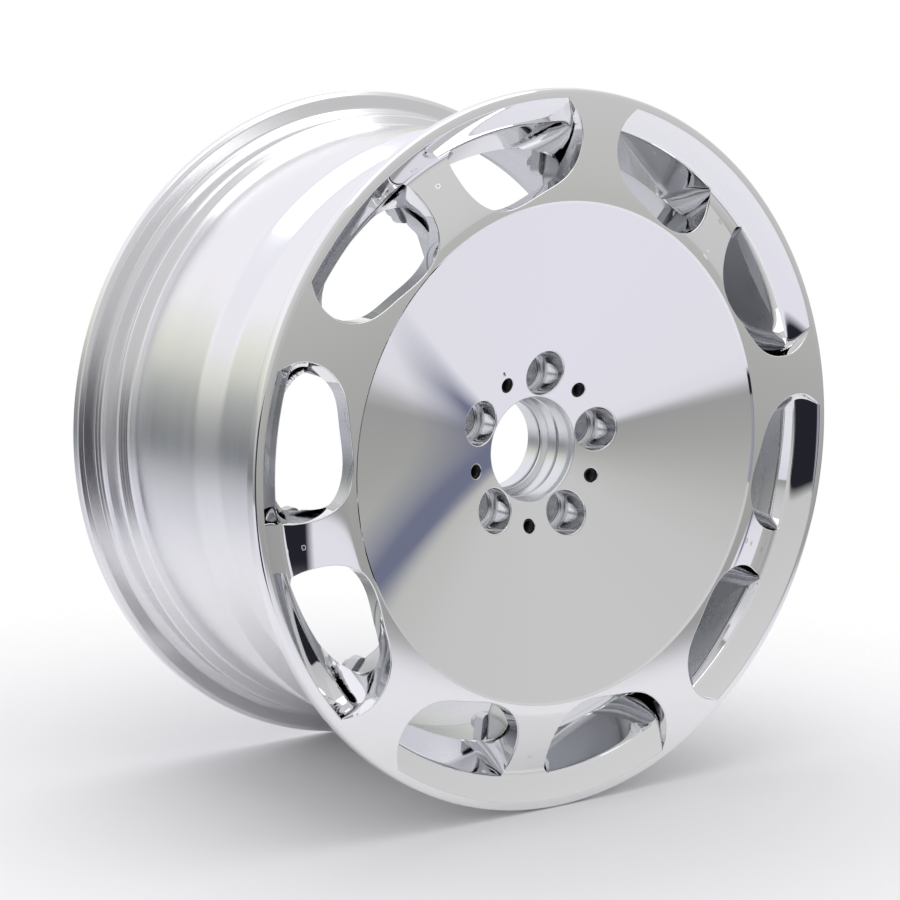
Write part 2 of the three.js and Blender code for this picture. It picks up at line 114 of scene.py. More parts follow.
# Finishes of one skin, as places in its list of materials; the back place holds a rougher finish whose darker
# base colour is painted shade
FRONT_FINISH, BACK_FINISH_AND_SHADE, BORE_FINISH = 0, 1, 2

WINDOW_KNOTS = np.array([
    (7.3, 252.4), (4.9, 238.0), (4.2, 226.0), (7.2, 200.0), (14.4, 188.5),
    (22.5, 183.2), (28.4, 189.5), (31.4, 208.0), (31.4, 238.0), (31.4, 254.0)])


def station(depth):
    return depth + CROWN_RISE - (REAR_DEPTH + CROWN_RISE) / 2


def flush_angle(index):
    return 90 + CLOCKING + index * 360 / SPOKE_PAIRS


AXLE = (0, 1, 0)
VALVE_SPOT = (0.0, station(VALVE_DEPTH), 0.0)
VALVE_AXIS = (math.cos(math.radians(VALVE_ANGLE)), 0.0, math.sin(math.radians(VALVE_ANGLE)))


# ---------------------------------------------------------------- depth of each turned surface
def dish(r):
    run = (DISH_R - r) / (DISH_R - BORE_EDGE_R)
    return DISH_START + (BORE_EDGE_DEPTH - DISH_START) * run * (1 + DISH_CURVE * (1 - run))


def crown(r):
    return -CROWN_RISE * (1 - ((r - RIDGE_R) / (LIP_EDGE_R - RIDGE_R)) ** 2)


def ring_radius(depth):
    """Radius of the bevel under the lip, rolling over into the tapered bore of the ring."""
    run = np.clip(depth, 0, None) / BEVEL_FOOT_DEPTH
    front = LIP_EDGE_R - (LIP_EDGE_R - BEVEL_FOOT_R) * run + 4 * BEVEL_SAG * run * (1 - run)
    taper = (RING_MOUTH_R - RING_BORE_R) / (JOINT_DEPTH - RING_MOUTH_DEPTH)
    bore = RING_MOUTH_R - taper * (np.asarray(depth, float) - RING_MOUTH_DEPTH)
    return (front + bore + np.hypot(front - bore, BEVEL_ROLL)) / 2


LIP_LEAN = -1.4
RING_DEPTHS = np.linspace(0, JOINT_DEPTH, 921)
RING_RADII = ring_radius(RING_DEPTHS)


def bevel(r):
    return np.interp(r, RING_RADII[::-1], RING_DEPTHS[::-1])


def recess(r):
    run = np.clip((r - DIVE_R) / (TIP_R - DIVE_R), 0, None)
    return (TIP_DEPTH + CROWN_RISE) * run ** DIVE_POWER - CROWN_RISE


def pocket_floor(r):
    """Top of a recessed spoke, the hollow at its tip and the bevel beyond."""
    width = TROUGH_END_R - TIP_R
    w = np.clip((r - TIP_R) / width, 0, 1)
    start, end = TIP_DEPTH, bevel(TROUGH_END_R)
    rise = (TIP_DEPTH + CROWN_RISE) * DIVE_POWER / (TIP_R - DIVE_R)
    fall = (bevel(TROUGH_END_R + 0.5) - bevel(TROUGH_END_R)) / 0.5
    hollow = ((2 * w ** 3 - 3 * w * w + 1) * start + (w ** 3 - 2 * w * w + w) * width * rise
              + (3 * w * w - 2 * w ** 3) * end + (w ** 3 - w * w) * width * fall)
    return np.where(r < DIVE_R, crown(r), np.where(r < TIP_R, recess(r),
                    np.where(r < TROUGH_END_R, hollow, bevel(r))))


def plate_back(r):
    run = np.clip((r - PLATE_THICK_R) / (RING_BORE_R - PLATE_THICK_R), 0, 1)
    return PLATE_BACK + (JOINT_DEPTH - PLATE_BACK) * run ** 3


def slope(depth_at, r, step=0.02):
    return (depth_at(r + step) - depth_at(r - step)) / (2 * step)


# ---------------------------------------------------------------- mesh building
class Skin:
    """Collects faces with exact corner normals, then welds them into one mesh."""

    def __init__(self):
        self.faces = []
        self.finish = 0

    def add(self, points, normals):
        points = np.asarray(points, float)
        normals = np.asarray(normals, float)
        ring = np.roll(points, -1, 1)
        area = np.cross(points, ring).sum(1)
        keep = np.linalg.norm(area, axis=1) > 1e-3
        points, normals, area = points[keep], normals[keep], area[keep]
        wrong = (area * normals.sum(1)).sum(1) < 0
        points[wrong] = points[wrong][:, ::-1]
        normals[wrong] = normals[wrong][:, ::-1]
        self.faces.append((points, normals, self.finish))

    def grid(self, points, normals):
        corner = lambda a: np.stack([a[:-1, :-1], a[1:, :-1], a[1:, 1:], a[:-1, 1:]], 2).reshape(-1, 4, 3)
        self.add(corner(points), corner(normals))

    def mesh(self, name, materials):
        points = np.concatenate([p.reshape(-1, 3) for p, *_ in self.faces])
        normals = np.concatenate([n.reshape(-1, 3) for _, n, _ in self.faces])
        sizes = np.concatenate([np.full(len(p), p.shape[1]) for p, *_ in self.faces])
        finishes = np.concatenate([np.full(len(p), finish) for p, _, finish in self.faces])
        keys = np.round(points / 0.002).astype(np.int64)
        _, first, index = np.unique(keys, axis=0, return_index=True, return_inverse=True)
        index = index.reshape(-1)
        faces, corners, slots, start = [], [], [], 0
        for size, finish in zip(sizes, finishes):
            loop = index[start:start + size]
            order = [k for k in range(size) if loop[k] != loop[k - 1]]
            if len(order) > 2:
                faces.append([int(loop[k]) for k in order])
                corners.extend(start + k for k in order)
                slots.append(int(finish))
            start += size
        mesh = bpy.data.meshes.new(name)
        mesh.from_pydata((points[first] * MM).tolist(), [], faces)
        normals = normals[corners]
        normals /= np.maximum(np.linalg.norm(normals, axis=1, keepdims=True), 1e-9)
        for material in materials:
            mesh.materials.append(material)
        mesh.shade_smooth()
        mesh.polygons.foreach_set("material_index", slots)
        mesh.normals_split_custom_set(normals.tolist())
        return mesh


def polar(r, angle, depth):
    turn = np.radians(angle)
    r, turn, depth = np.broadcast_arrays(r, turn, depth)
    return np.stack([r * np.cos(turn), station(depth), r * np.sin(turn)], -1)


def outline(corners, steps=5):
    """Runs of (radius, depth, normal) along a list of (radius, depth, fillet radius) corners."""
    pts = np.array([c[:2] for c in corners], float)
    runs, run = [], []

    def normal(a, b):
        t = (b - a) / np.linalg.norm(b - a)
        return np.array([t[1], -t[0]])

    for k, corner in enumerate(pts):
        size = corners[k][2]
        if k == 0:
            run.append((corner, normal(pts[0], pts[1])))
        elif k == len(pts) - 1:
            run.append((corner, normal(pts[-2], pts[-1])))
        else:
            n0, n1 = normal(pts[k - 1], corner), normal(corner, pts[k + 1])
            if size <= 0:
                run.append((corner, n0))
                runs.append(run)
                run = [(corner, n1)]
                continue
            bend = math.acos(float(np.clip(n0 @ n1, -1, 1)))
            cut = size * math.tan(bend / 2)
            t0 = np.array([-n0[1], n0[0]])
            t1 = np.array([-n1[1], n1[0]])
            start, end = corner - t0 * cut, corner + t1 * cut
            for i in range(steps + 1):
                w = i / steps
                spot = (1 - w) ** 2 * start + 2 * w * (1 - w) * corner + w * w * end
                tangent = (1 - w) * t0 + w * t1
                tangent /= np.linalg.norm(tangent)
                run.append((spot, np.array([tangent[1], -tangent[0]])))
    runs.append(run)
    return [(np.array([p for p, _ in run]), np.array([n for _, n in run])) for run in runs]


def revolve(skin, runs, angles):
    """Turns outline runs about the wheel axis."""
    turn = np.radians(angles)[None, :]
    for pts, nrm in runs:
        r, d = pts[:, :1], pts[:, 1:]
        nr, nd = nrm[:, :1], nrm[:, 1:]
        skin.grid(polar(r, np.degrees(turn), d),
                  np.stack(np.broadcast_arrays(nr * np.cos(turn), nd, nr * np.sin(turn)), -1))


def cos_sin(angle):
    return math.cos(math.radians(angle)), math.sin(math.radians(angle))


def cross_axes(axis):
    """An axis as a unit vector, with two more at right angles to it."""
    axis = Vector(axis).normalized()
    side = np.array(axis.orthogonal().normalized())
    return np.array(axis), side, np.cross(np.array(axis), side)


def turned(skin, runs, centre, axis, steps, ridges=0, height=0.0):
    """Turns outline runs about any axis: radius across it and distance along it, from centre.

    Ridges add a fine knurl of that height to the outer side.
    """
    axis, side, other = cross_axes(axis)
    turn = np.linspace(0, 2 * math.pi, steps + 1)
    spin = np.cos(turn)[:, None] * side + np.sin(turn)[:, None] * other
    around = -np.sin(turn)[:, None] * side + np.cos(turn)[:, None] * other
    for pts, nrm in runs:
        outer = ((nrm[:, 0] > 0.9) & (height > 0)).astype(float)[:, None, None]
        wave = -height / 2 * (1 - np.cos(ridges * turn))[:, None] * outer
        tilt = height / 2 * ridges * np.sin(ridges * turn)[:, None] * outer / np.maximum(pts[:, :1, None], 1)
        points = np.array(centre) + (pts[:, :1, None] + wave) * spin[None] + pts[:, 1:, None] * axis
        normals = nrm[:, :1, None] * spin[None] + nrm[:, 1:, None] * axis + tilt * around[None]
        skin.grid(points, normals)


def sided(skin, runs, centre, axis, sides):
    """Flat-sided version of turned; radii are those of the corners."""
    axis, side, other = cross_axes(axis)
    for k in range(sides):
        turn = 2 * math.pi * (np.array([k, k + 1])) / sides
        middle = turn.mean()
        spin = np.cos(turn)[:, None] * side + np.sin(turn)[:, None] * other
        face = math.cos(middle) * side + math.sin(middle) * other
        for pts, nrm in runs:
            points = np.array(centre) + pts[:, :1, None] * spin[None] + pts[:, 1:, None] * axis
            normals = nrm[:, :1, None] * face + nrm[:, 1:, None] * axis + 0 * points
            skin.grid(points, normals)


def thread(radius, start, stop, pitch, depth):
    """Corners of a fine thread along a cylinder, running from start to stop."""
    count = int(abs(stop - start) / pitch)
    way = math.copysign(pitch, stop - start)
    corners = []
    for k in range(count):
        corners += [(radius, start + way * (k + 0.1), 0.05), (radius - depth, start + way * (k + 0.6), 0.05)]
    return corners


def turned_over(runs):
    """The same outline facing the other way."""
    return [(points, -normals) for points, normals in runs]


def full_turn(steps):
    return CLOCKING + 90 + np.linspace(0, 360, steps + 1)


# ---------------------------------------------------------------- the repeated cell of the face
def window_edge(count=1000):
    """Angle and radius along the window's edge: a natural cubic spline through the knots."""
    knots = flat(WINDOW_KNOTS[:, 0], WINDOW_KNOTS[:, 1])
    gap = np.linalg.norm(np.diff(knots, axis=0), axis=1)
    place = np.concatenate([[0], np.cumsum(gap)])
    size = len(knots)
    system, target = np.eye(size), np.zeros((size, 2))
    for k in range(1, size - 1):
        system[k, k - 1:k + 2] = gap[k - 1], 2 * (gap[k - 1] + gap[k]), gap[k]
        target[k] = 6 * ((knots[k + 1] - knots[k]) / gap[k] - (knots[k] - knots[k - 1]) / gap[k - 1])
    bend = np.linalg.solve(system, target)
    along = np.linspace(0, place[-1], count + 1)
    k = np.clip(np.searchsorted(place, along, side="right") - 1, 0, size - 2)
    h = gap[k][:, None]
    a = (place[k + 1] - along)[:, None] / h
    b = 1 - a
    spots = (a * knots[k] + b * knots[k + 1]
             + ((a ** 3 - a) * bend[k] + (b ** 3 - b) * bend[k + 1]) * h * h / 6)
    return np.stack([np.degrees(np.arctan2(spots[:, 1], spots[:, 0])), np.hypot(*spots.T)], -1)


def flat(alpha, r):
    return np.stack([r * np.cos(np.radians(alpha)), r * np.sin(np.radians(alpha))], -1)


def inward(line):
    """Unit normals of a flat polyline, pointing into the opening."""
    step = np.gradient(line, axis=0)
    step /= np.linalg.norm(step, axis=1, keepdims=True)
    return np.stack([step[:, 1], -step[:, 0]], -1)


def in_polygon(points, polygon):
    x, y = points[:, 0][:, None], points[:, 1][:, None]
    x0, y0 = polygon[:, 0][None], polygon[:, 1][None]
    x1, y1 = np.roll(polygon[:, 0], -1)[None], np.roll(polygon[:, 1], -1)[None]
    crosses = (y0 > y) != (y1 > y)
    with np.errstate(divide="ignore", invalid="ignore"):
        hit = crosses & (x < (x1 - x0) * (y - y0) / (y1 - y0) + x0)
    return hit.sum(1) % 2 == 1


def clear_of(points, polygon, gap):
    a, b = polygon, np.roll(polygon, -1, 0)
    d = b - a
    long = np.maximum((d * d).sum(1), 1e-12)
    t = np.clip(((points[:, None] - a) * d).sum(-1) / long, 0, 1)
    near = a + d * t[..., None]
    return np.linalg.norm(points[:, None] - near, axis=-1).min(1) > gap


def arc(radius, start, stop, step=1.2):
    count = max(2, int(abs(stop - start) / step) + 1)
    return flat(np.linspace(start, stop, count), np.full(count, radius))


def triangulate(outer, spacing_r, spacing_a, gap=0.9):
    """Fills a flat border with triangles whose inner corners lie on a grid of radii and angles."""
    spots = []
    radii = np.hypot(outer[:, 0], outer[:, 1])
    low, high = radii.min(), radii.max()
    for r in np.arange(low, high, spacing_r):
        spots.append(flat(np.arange(0, CELL + 0.01, spacing_a), np.full(int(CELL / spacing_a + 1.01), r)))
    spots = np.concatenate(spots)
    spots = spots[in_polygon(spots, outer) & clear_of(spots, outer, gap)]
    points = [Vector(p) for p in outer.tolist() + spots.tolist()]
    edges = [(k, (k + 1) % len(outer)) for k in range(len(outer))]
    verts, _, tris, *_ = delaunay_2d_cdt(points, edges, [], 0, 1e-6)
    verts = np.array([tuple(v) for v in verts])
    tris = np.array([t for t in tris if len(t) == 3])
    return verts, tris[in_polygon(verts[tris].mean(1), outer)]


class Cell:
    """Places flat cell shapes on the wheel, ten times, mirrored about each spoke."""

    def __init__(self, skin):
        self.skin = skin

    def places(self):
        for index in range(SPOKE_PAIRS):
            for side in (1, -1):
                yield flush_angle(index), side

    def spread(self, flat_points, depth, flat_normals, depth_normals):
        """Yields placed points and normals; arrays share their leading shape."""
        for start, side in self.places():
            c, s = cos_sin(start)
            x, y = flat_points[..., 0], side * flat_points[..., 1]
            nx, ny = flat_normals[..., 0], side * flat_normals[..., 1]
            yield (np.stack([c * x - s * y, station(depth), s * x + c * y], -1),
                   np.stack([c * nx - s * ny, depth_normals, s * nx + c * ny], -1))

    def surface(self, verts, tris, depth_at, facing):
        """A turned surface over triangles; facing is -1 towards the front, +1 towards the back."""
        r = np.hypot(verts[:, 0], verts[:, 1])
        rise = slope(depth_at, r)
        radial = verts / r[:, None]
        size = np.sqrt(1 + rise ** 2)
        flat_n = -facing * rise[:, None] * radial / size[:, None]
        depth_n = facing / size
        for pts, nrm in self.spread(verts, depth_at(r), flat_n, depth_n):
            self.skin.add(pts[tris], nrm[tris])

    def strip(self, rows_flat, rows_depth, rows_nflat, rows_ndepth):
        for pts, nrm in self.spread(np.array(rows_flat), np.array(rows_depth),
                                    np.array(rows_nflat), np.array(rows_ndepth)):
            self.skin.grid(pts, nrm)

    def wall(self, line, normals, top, bottom, top_round, steps=4, levels=4):
        """Straight wall along a flat line, with a rounded top edge."""
        rows = Rows()
        for k in range(steps + 1):
            turn = k / steps * math.pi / 2
            rows.put(line - (top_round * (1 - math.sin(turn)))[:, None] * normals,
                     top + top_round * (1 - math.cos(turn)), math.sin(turn) * normals, -math.cos(turn))
        for k in range(1, levels + 1):
            rows.put(line, top + top_round + (bottom - top - top_round) * k / levels, normals, 0.0)
        self.strip(*rows.parts)


class Rows:
    """Rows of flat points with their depths and normals, gathered for one strip of a cell."""

    def __init__(self):
        self.parts = ([], [], [], [])

    def put(self, *row):
        count = len(row[0])
        for part, value in zip(self.parts, row):
            part.append(np.full(count, value) if np.ndim(value) == 0 else value)

    def last(self):
        return self.parts[0][-1]


class Opening:
    """The opening between a flush and a recessed spoke, as level outlines at many depths."""

    LEFT, CORNER, RING, RIGHT = 90, 12, 26, 110

    def __init__(self):
        edge = window_edge()
        self.line = flat(edge[:, 0], edge[:, 1])
        self.normals = inward(self.line)
        self.low = int(np.argmin(edge[:, 1]))
        self.levels = np.concatenate([np.linspace(-CROWN_RISE, 20, 87), np.linspace(20.5, JOINT_DEPTH, 52)])
        sections = [self.section(depth) for depth in self.levels]
        self.points, self.flat_normals, self.tilt = (np.array(part) for part in zip(*sections))

    def at(self, index):
        i = np.clip(index.astype(int), 0, len(self.line) - 2)
        w = (index - i)[:, None]
        normal = self.normals[i] * (1 - w) + self.normals[i + 1] * w
        return self.line[i] * (1 - w) + self.line[i + 1] * w, normal / np.linalg.norm(normal, axis=1)[:, None]

    def touch(self, size, ring, step):
        """Index where a corner round of this size touches the edge, going outward from the sill."""
        reach = np.hypot(*(self.line + size * self.normals).T) - (ring - size)
        index = self.low
        while reach[index + step] < 0:
            index += step
        return index + step * reach[index] / (reach[index] - reach[index + step])

    def section(self, depth):
        ring = float(ring_radius(depth))
        lean = LIP_LEAN
        if depth > 0.1:
            lean = float(ring_radius(depth + 0.05) - ring_radius(depth - 0.05)) / 0.1
        sizes = (np.interp(depth, [0, 6, 12, 20, 46], [0.8, 4.0, 9.0, 13.0, 14.0]),
                 np.interp(depth, [8, 12, 20, 46], [2.5, 5.0, 12.0, 14.0]))
        ends = [self.touch(sizes[0], ring, -1), self.touch(sizes[1], ring, 1)]
        left = self.at(np.linspace(self.low, ends[0], self.LEFT))
        right = self.at(np.linspace(ends[1], self.low, self.RIGHT))
        parts, angles = [], []
        for size, spot, normal in ((sizes[0], left[0][-1], left[1][-1]),
                                   (sizes[1], right[0][0], right[1][0])):
            centre = spot + size * normal
            angle = math.atan2(centre[1], centre[0])
            angles.append(math.degrees(angle))
            start, stop = math.atan2(*(-normal)[::-1]), angle
            stop += 2 * math.pi * round((start - stop) / (2 * math.pi))
            turn = np.linspace(start, stop, self.CORNER)
            out = np.stack([np.cos(turn), np.sin(turn)], -1)
            parts.append((centre + size * out, -out, np.linspace(0, lean, self.CORNER)))
        sweep = np.linspace(angles[0], angles[1], self.RING)
        radial = flat(sweep, np.ones(self.RING))
        first, last = parts[0], tuple(part[::-1] for part in parts[1])
        flats = (left[0], first[0][1:], ring * radial[1:-1], last[0][:-1], right[0])
        facing = (left[1], first[1][1:], -radial[1:-1], last[1][:-1], right[1])
        lean_all = (np.zeros(self.LEFT), first[2][1:], np.full(self.RING - 2, lean), last[2][:-1],
                    np.zeros(self.RIGHT))
        return np.concatenate(flats), np.concatenate(facing), np.concatenate(lean_all)

    def limit(self, column, depth_at, low, high, rising):
        """Depth where a column of the opening meets a surface, searched between two depths."""
        keep = (self.levels >= low) & (self.levels <= high)
        way = -1 if rising else 1
        levels = self.levels[keep][::way]
        gap = levels - depth_at(np.hypot(*self.points[keep, column].T))[::way]
        inside = gap * way <= 0
        index = 0
        while index < len(levels) - 1 and inside[index + 1]:
            index += 1
        if index == len(levels) - 1:
            return low if rising else high
        w = gap[index] / (gap[index] - gap[index + 1])
        return levels[index] + w * (levels[index + 1] - levels[index])

    def sample(self, columns, depths):
        """Points, flat normals and leans of columns at a grid of depths, rows by columns."""
        place = np.interp(depths, self.levels, np.arange(len(self.levels)))
        i = np.clip(place.astype(int), 0, len(self.levels) - 2)
        w = (place - i)[..., None]
        pick = lambda a: a[i, columns] * (1 - w) + a[i + 1, columns] * w
        tilt = self.tilt[i, columns] * (1 - w[..., 0]) + self.tilt[i + 1, columns] * w[..., 0]
        normal = pick(self.flat_normals)
        size = np.sqrt((normal ** 2).sum(-1) + tilt ** 2)
        return pick(self.points), normal / size[..., None], tilt / size


def circle(centre, radius, count=96):
    turn = np.linspace(0, 2 * math.pi, count + 1)
    return centre + radius * np.stack([np.cos(turn), np.sin(turn)], -1)


def window_walls(cell):
    """Walls of the opening, the bevel and the ring bore; returns the border lines other surfaces join."""
    hole = Opening()
    count = hole.points.shape[1]
    ring_start = hole.LEFT
    ring_end = hole.LEFT + hole.CORNER + hole.RING - 3
    right_start = ring_end + hole.CORNER - 1
    columns = np.arange(count)
    lip = float(bevel(LIP_EDGE_R - LIP_ROUND))
    split = float(bevel(TROUGH_END_R))
    share = np.where(columns < ring_start, (ring_start - columns) / 12, (columns - right_start) / 12)
    rounding = EDGE_ROUND * np.clip(share, 0.03, 1)
    rounding[ring_start:right_start] = 0
    top, bottom = np.zeros(count), np.zeros(count)
    for k in columns:
        if k < ring_start:
            top[k] = hole.limit(k, crown, -CROWN_RISE, 12, True)
        elif k < ring_end:
            top[k] = lip
        else:
            top[k] = hole.limit(k, pocket_floor, -CROWN_RISE if k > right_start else split, 30, True)
        bottom[k] = hole.limit(k, plate_back, 8, JOINT_DEPTH, False)
    top[ring_end] = split
    under = 1.2 * np.clip((212 - np.hypot(*hole.points[-1].T)) / 8, 0.02, 1)
    under[ring_start:right_start] = 0
    upper, lower = 16, 22

    def part(chosen, rows, start, stop, mid=None):
        chosen = np.array(chosen)
        first = start + rounding[chosen]
        last = stop - under[chosen]
        w = np.linspace(0, 1, rows + 1)[:, None]
        depths = first + (last - first) * w
        if mid is not None:
            depths = np.concatenate([first + (mid - first) * np.linspace(0, 1, upper + 1)[:-1, None],
                                     mid + (last - mid) * w])
        flat_pts, flat_n, tilt = hole.sample(np.broadcast_to(chosen, depths.shape), depths)
        wall_top, wall_low = flat_n[0], flat_n[-1]
        head, tail = Rows(), Rows()
        size, low_size = rounding[chosen], under[chosen]
        for k in range(5):
            turn = k / 4 * math.pi / 2
            head.put(flat_pts[0] - (size * (1 - math.sin(turn)))[:, None] * wall_top,
                     start + size * (1 - math.cos(turn)), math.sin(turn) * wall_top, -math.cos(turn))
            tail.put(flat_pts[-1] - (low_size * (1 - math.cos(turn)))[:, None] * wall_low,
                     last + low_size * math.sin(turn), math.cos(turn) * wall_low, math.sin(turn))
        main = (flat_pts, depths, flat_n, tilt)
        for rows, kept in ((head.parts, size > 0.01), (main, size >= 0), (tail.parts, low_size > 0.01)):
            if kept.any():
                cell.strip(*[np.array(row)[:, kept] for row in rows])
        return head.parts[0][0], tail.last(), flat_pts, depths

    mid = np.where(columns < ring_start, top + (bottom - top) * 0.3, split)
    left = columns[:ring_end + 1]
    starts = top.copy()
    starts[ring_end] = lip
    tops_l, lows_l, points, depths = part(left, lower, starts[left], bottom[left], mid[left])
    right = columns[ring_end:]
    tops_r, lows_r, _, _ = part(right, lower, top[right], bottom[right])

    # bevel above the tip of the recessed spoke
    edge, level = points[:upper + 1, -1], depths[:upper + 1, -1]
    rows = Rows()
    for spot, depth in zip(edge, level):
        radius = math.hypot(*spot)
        sweep = np.linspace(angle_of(spot), CELL, 9)
        rise = float(slope(bevel, radius, 0.2))
        radial = flat(sweep, np.ones(9))
        rows.put(radius * radial, depth, radial * rise / math.hypot(1, rise), -1 / math.hypot(1, rise))
    cell.strip(*rows.parts)
    return {"shelf": rows.last(), "flush": tops_l[:ring_start], "recessed": tops_r,
            "back_left": lows_l[:ring_start + hole.CORNER - 1], "back_right": lows_r,
            "lip_start": points[0, ring_start + hole.CORNER - 2]}


def angle_of(spot):
    return math.degrees(math.atan2(spot[1], spot[0]))


def face_skin():
    skin = Skin()
    cell = Cell(skin)
    borders = window_walls(cell)
    flush, recessed = borders["flush"], borders["recessed"]
    reach = np.hypot(*recessed.T)
    dive = int(np.argmax(reach < DIVE_R))

    # crown, flush spokes and lip
    lip_in = LIP_EDGE_R + LIP_ROUND
    lip_angle = angle_of(flush[-1])
    border = np.concatenate([
        flat(np.zeros(40), np.linspace(RIDGE_R, CROWN_OUT_R, 40)), arc(CROWN_OUT_R, 0, CELL)[1:],
        arc(lip_in, CELL, lip_angle),
        flush[::-1], recessed[dive:][::-1][1:],
        arc(math.hypot(*recessed[dive]), angle_of(recessed[dive]), CELL)[1:],
        flat(np.full(3, CELL), np.array([186.0, 184.5, 183.0])), arc(RIDGE_R, CELL, 0)[:-1]])
    cell.surface(*triangulate(border, 3.0, 1.2), crown, -1)

    # recessed spoke
    border = np.concatenate([
        recessed[:dive + 1][::-1], borders["shelf"][1:],
        flat(np.full(26, CELL), np.linspace(TROUGH_END_R - 0.9, DIVE_R + 1.5, 26)),
        arc(math.hypot(*recessed[dive]), CELL, angle_of(recessed[dive]))[:-1]])
    cell.surface(*triangulate(border, 1.2, 0.6, gap=0.4), pocket_floor, -1)

    # rounded edge between lip and bevel
    sweep = np.linspace(angle_of(borders["lip_start"]), CELL, 30)
    sweep[0] = lip_angle
    rows = Rows()
    n0, n1 = slope(crown, LIP_EDGE_R), slope(bevel, LIP_EDGE_R - LIP_ROUND, 0.2)
    for w in np.linspace(0, 1, 5):
        radius = lip_in - w
        depth = (1 - w) ** 2 * crown(lip_in) + 2 * w * (1 - w) * 0.05 + w * w * bevel(LIP_EDGE_R - LIP_ROUND)
        rise = (1 - w) * n0 + w * n1
        line_w = flat(sweep, np.full(len(sweep), radius))
        rows.put(line_w, depth, line_w / radius * rise / math.sqrt(1 + rise * rise),
                 -1 / math.sqrt(1 + rise * rise))
    cell.strip(*rows.parts)

    # back of the plate and spokes
    left, right = borders["back_left"], borders["back_right"]
    border = np.concatenate([
        flat(np.zeros(12), np.linspace(PLATE_IN_R, RING_BORE_R, 12)),
        arc(RING_BORE_R, 0, angle_of(left[-1]))[1:-1],
        left[::-1], right[::-1][1:], arc(RING_BORE_R, angle_of(right[0]), CELL)[1:],
        flat(np.full(10, CELL), np.linspace(213.0, 180.0, 10)), arc(PLATE_IN_R, CELL, 0)[:-1]])
    skin.finish = BACK_FINISH_AND_SHADE
    cell.surface(*triangulate(border, 3.0, 1.2), plate_back, 1)
    skin.finish = FRONT_FINISH

    # dish with its holes, and the small step at its rim
    lug_at = np.array([LUG_CIRCLE, 0.0])
    lug_half = circle(lug_at, LUG_POCKET_R + LUG_EDGE)[:49]
    small_at = flat(np.array(CELL), np.array(LUG_CIRCLE))
    dish_in = BORE_EDGE_R + LUG_EDGE
    small_half = half_circle(small_at, INSERT_HOLE_R + INSERT_EDGE)
    border = np.concatenate([
        [(dish_in, 0.0)], lug_half[::-1],
        flat(np.zeros(4), np.linspace(LUG_CIRCLE + LUG_POCKET_R + 1.9, LUG_FLAT_R, 4)),
        arc(LUG_FLAT_R, 0, CELL)[1:],
        flat(np.full(6, CELL), np.linspace(LUG_FLAT_R - 2, LUG_CIRCLE + INSERT_HOLE_R + 2, 6)),
        small_half,
        arc(dish_in, CELL, 0, 2.4)[:-1]])
    cell.surface(*triangulate(border, 3.5, 1.2, gap=1.2), dish, -1)
    radii = np.linspace(LUG_FLAT_R, DISH_R, 60)
    fall = slope(dish, radii)
    facing = np.stack([fall, -np.ones(60)], -1) / np.sqrt(1 + fall ** 2)[:, None]
    revolve(skin, [(np.stack([radii, dish(radii)], -1), facing)], full_turn(300))
    for loop, centre, hole_r, edge_r, deep in ((lug_half, lug_at, LUG_POCKET_R, LUG_EDGE, 52.0),
                                               (small_half, small_at, INSERT_HOLE_R, INSERT_EDGE, 42.0)):
        away = loop - centre
        away /= np.linalg.norm(away, axis=1, keepdims=True)
        rim = centre + away * hole_r
        cell.wall(rim, -away, dish(np.hypot(*rim.T)), np.full(len(rim), deep), np.full(len(rim), edge_r))

    around = full_turn(300)
    step = outline([
        (DISH_R, dish(DISH_R), 0), (RIDGE_R - 0.9, crown(RIDGE_R), 0.5), (RIDGE_R, crown(RIDGE_R), 0)])
    revolve(skin, step, around)
    skin.finish = BORE_FINISH
    bore = outline([
        (HUB_R - 12, HUB_DEPTH, 0), (BORE_BACK_R, HUB_DEPTH, 0.5), (36.9, 89.2, 0), (36.9, 75.7, 0),
        (34.5, 75.7, 0.4), (34.5, 73, 0.6), (37.5, 70, 0.8), (37.5, 60, 0.3), (38.7, 59.4, 0.2),
        (38.7, 57.6, 0.2), (37.5, 57, 0.3), (37.5, 45.5, 0.8), (BORE_EDGE_R, 41.5, 0.8),
        (BORE_EDGE_R, dish(BORE_EDGE_R), 0.8), (dish_in, dish(dish_in), 0)])
    revolve(skin, bore[1:], around)
    skin.finish = FRONT_FINISH

    # lip, outer flange, bead seat and hump
    bead_end = FLANGE_WIDTH + BEAD_WIDTH
    rim = outline([
        (CROWN_OUT_R, crown(CROWN_OUT_R), 0), (FLANGE_R - 0.4, 0.5, 3.2),
        (FLANGE_R, 5.0, 1.5), (FLANGE_R, 9.0, 2.4),
        (FLANGE_R - 3.4, FLANGE_WIDTH, 2.0), (246.0, FLANGE_WIDTH + 0.6, 3.6),
        (BEAD_R, 16.0, 3.0), (BEAD_R - 1.7, bead_end, 2.0), (BEAD_R - 0.7, bead_end + 3, 3.0),
        (BEAD_R - 1.7, bead_end + 6, 4.0), (JOINT_R, JOINT_DEPTH - 1, 2.0), (JOINT_R, JOINT_DEPTH, 0),
        (RING_BORE_R, JOINT_DEPTH, 0)])
    revolve(skin, rim, around)

    # hub seen from behind
    skin.finish = BACK_FINISH_AND_SHADE
    hub_back = outline([
        (PLATE_IN_R, plate_back(PLATE_IN_R), 0), (150.0, dish(150.0) + DISH_WALL, 20),
        (104.0, dish(104.0) + DISH_WALL, 14), (83.0, 60.0, 10), (HUB_R, HUB_DEPTH, 1.0),
        (HUB_R - PAD_EDGE, HUB_DEPTH, 0)])
    revolve(skin, turned_over(hub_back), around)
    border = np.concatenate([
        [(BORE_BACK_R, 0.0)], circle(lug_at, LUG_HOLE_R, 48)[:25][::-1],
        arc(HUB_R - PAD_EDGE, 0, CELL), half_circle(small_at, RELIEF_R), arc(BORE_BACK_R, CELL, 0, 2.4)[:-1]])
    cell.surface(*triangulate(border, 4.0, 3.0), lambda q: HUB_DEPTH + 0 * q, 1)

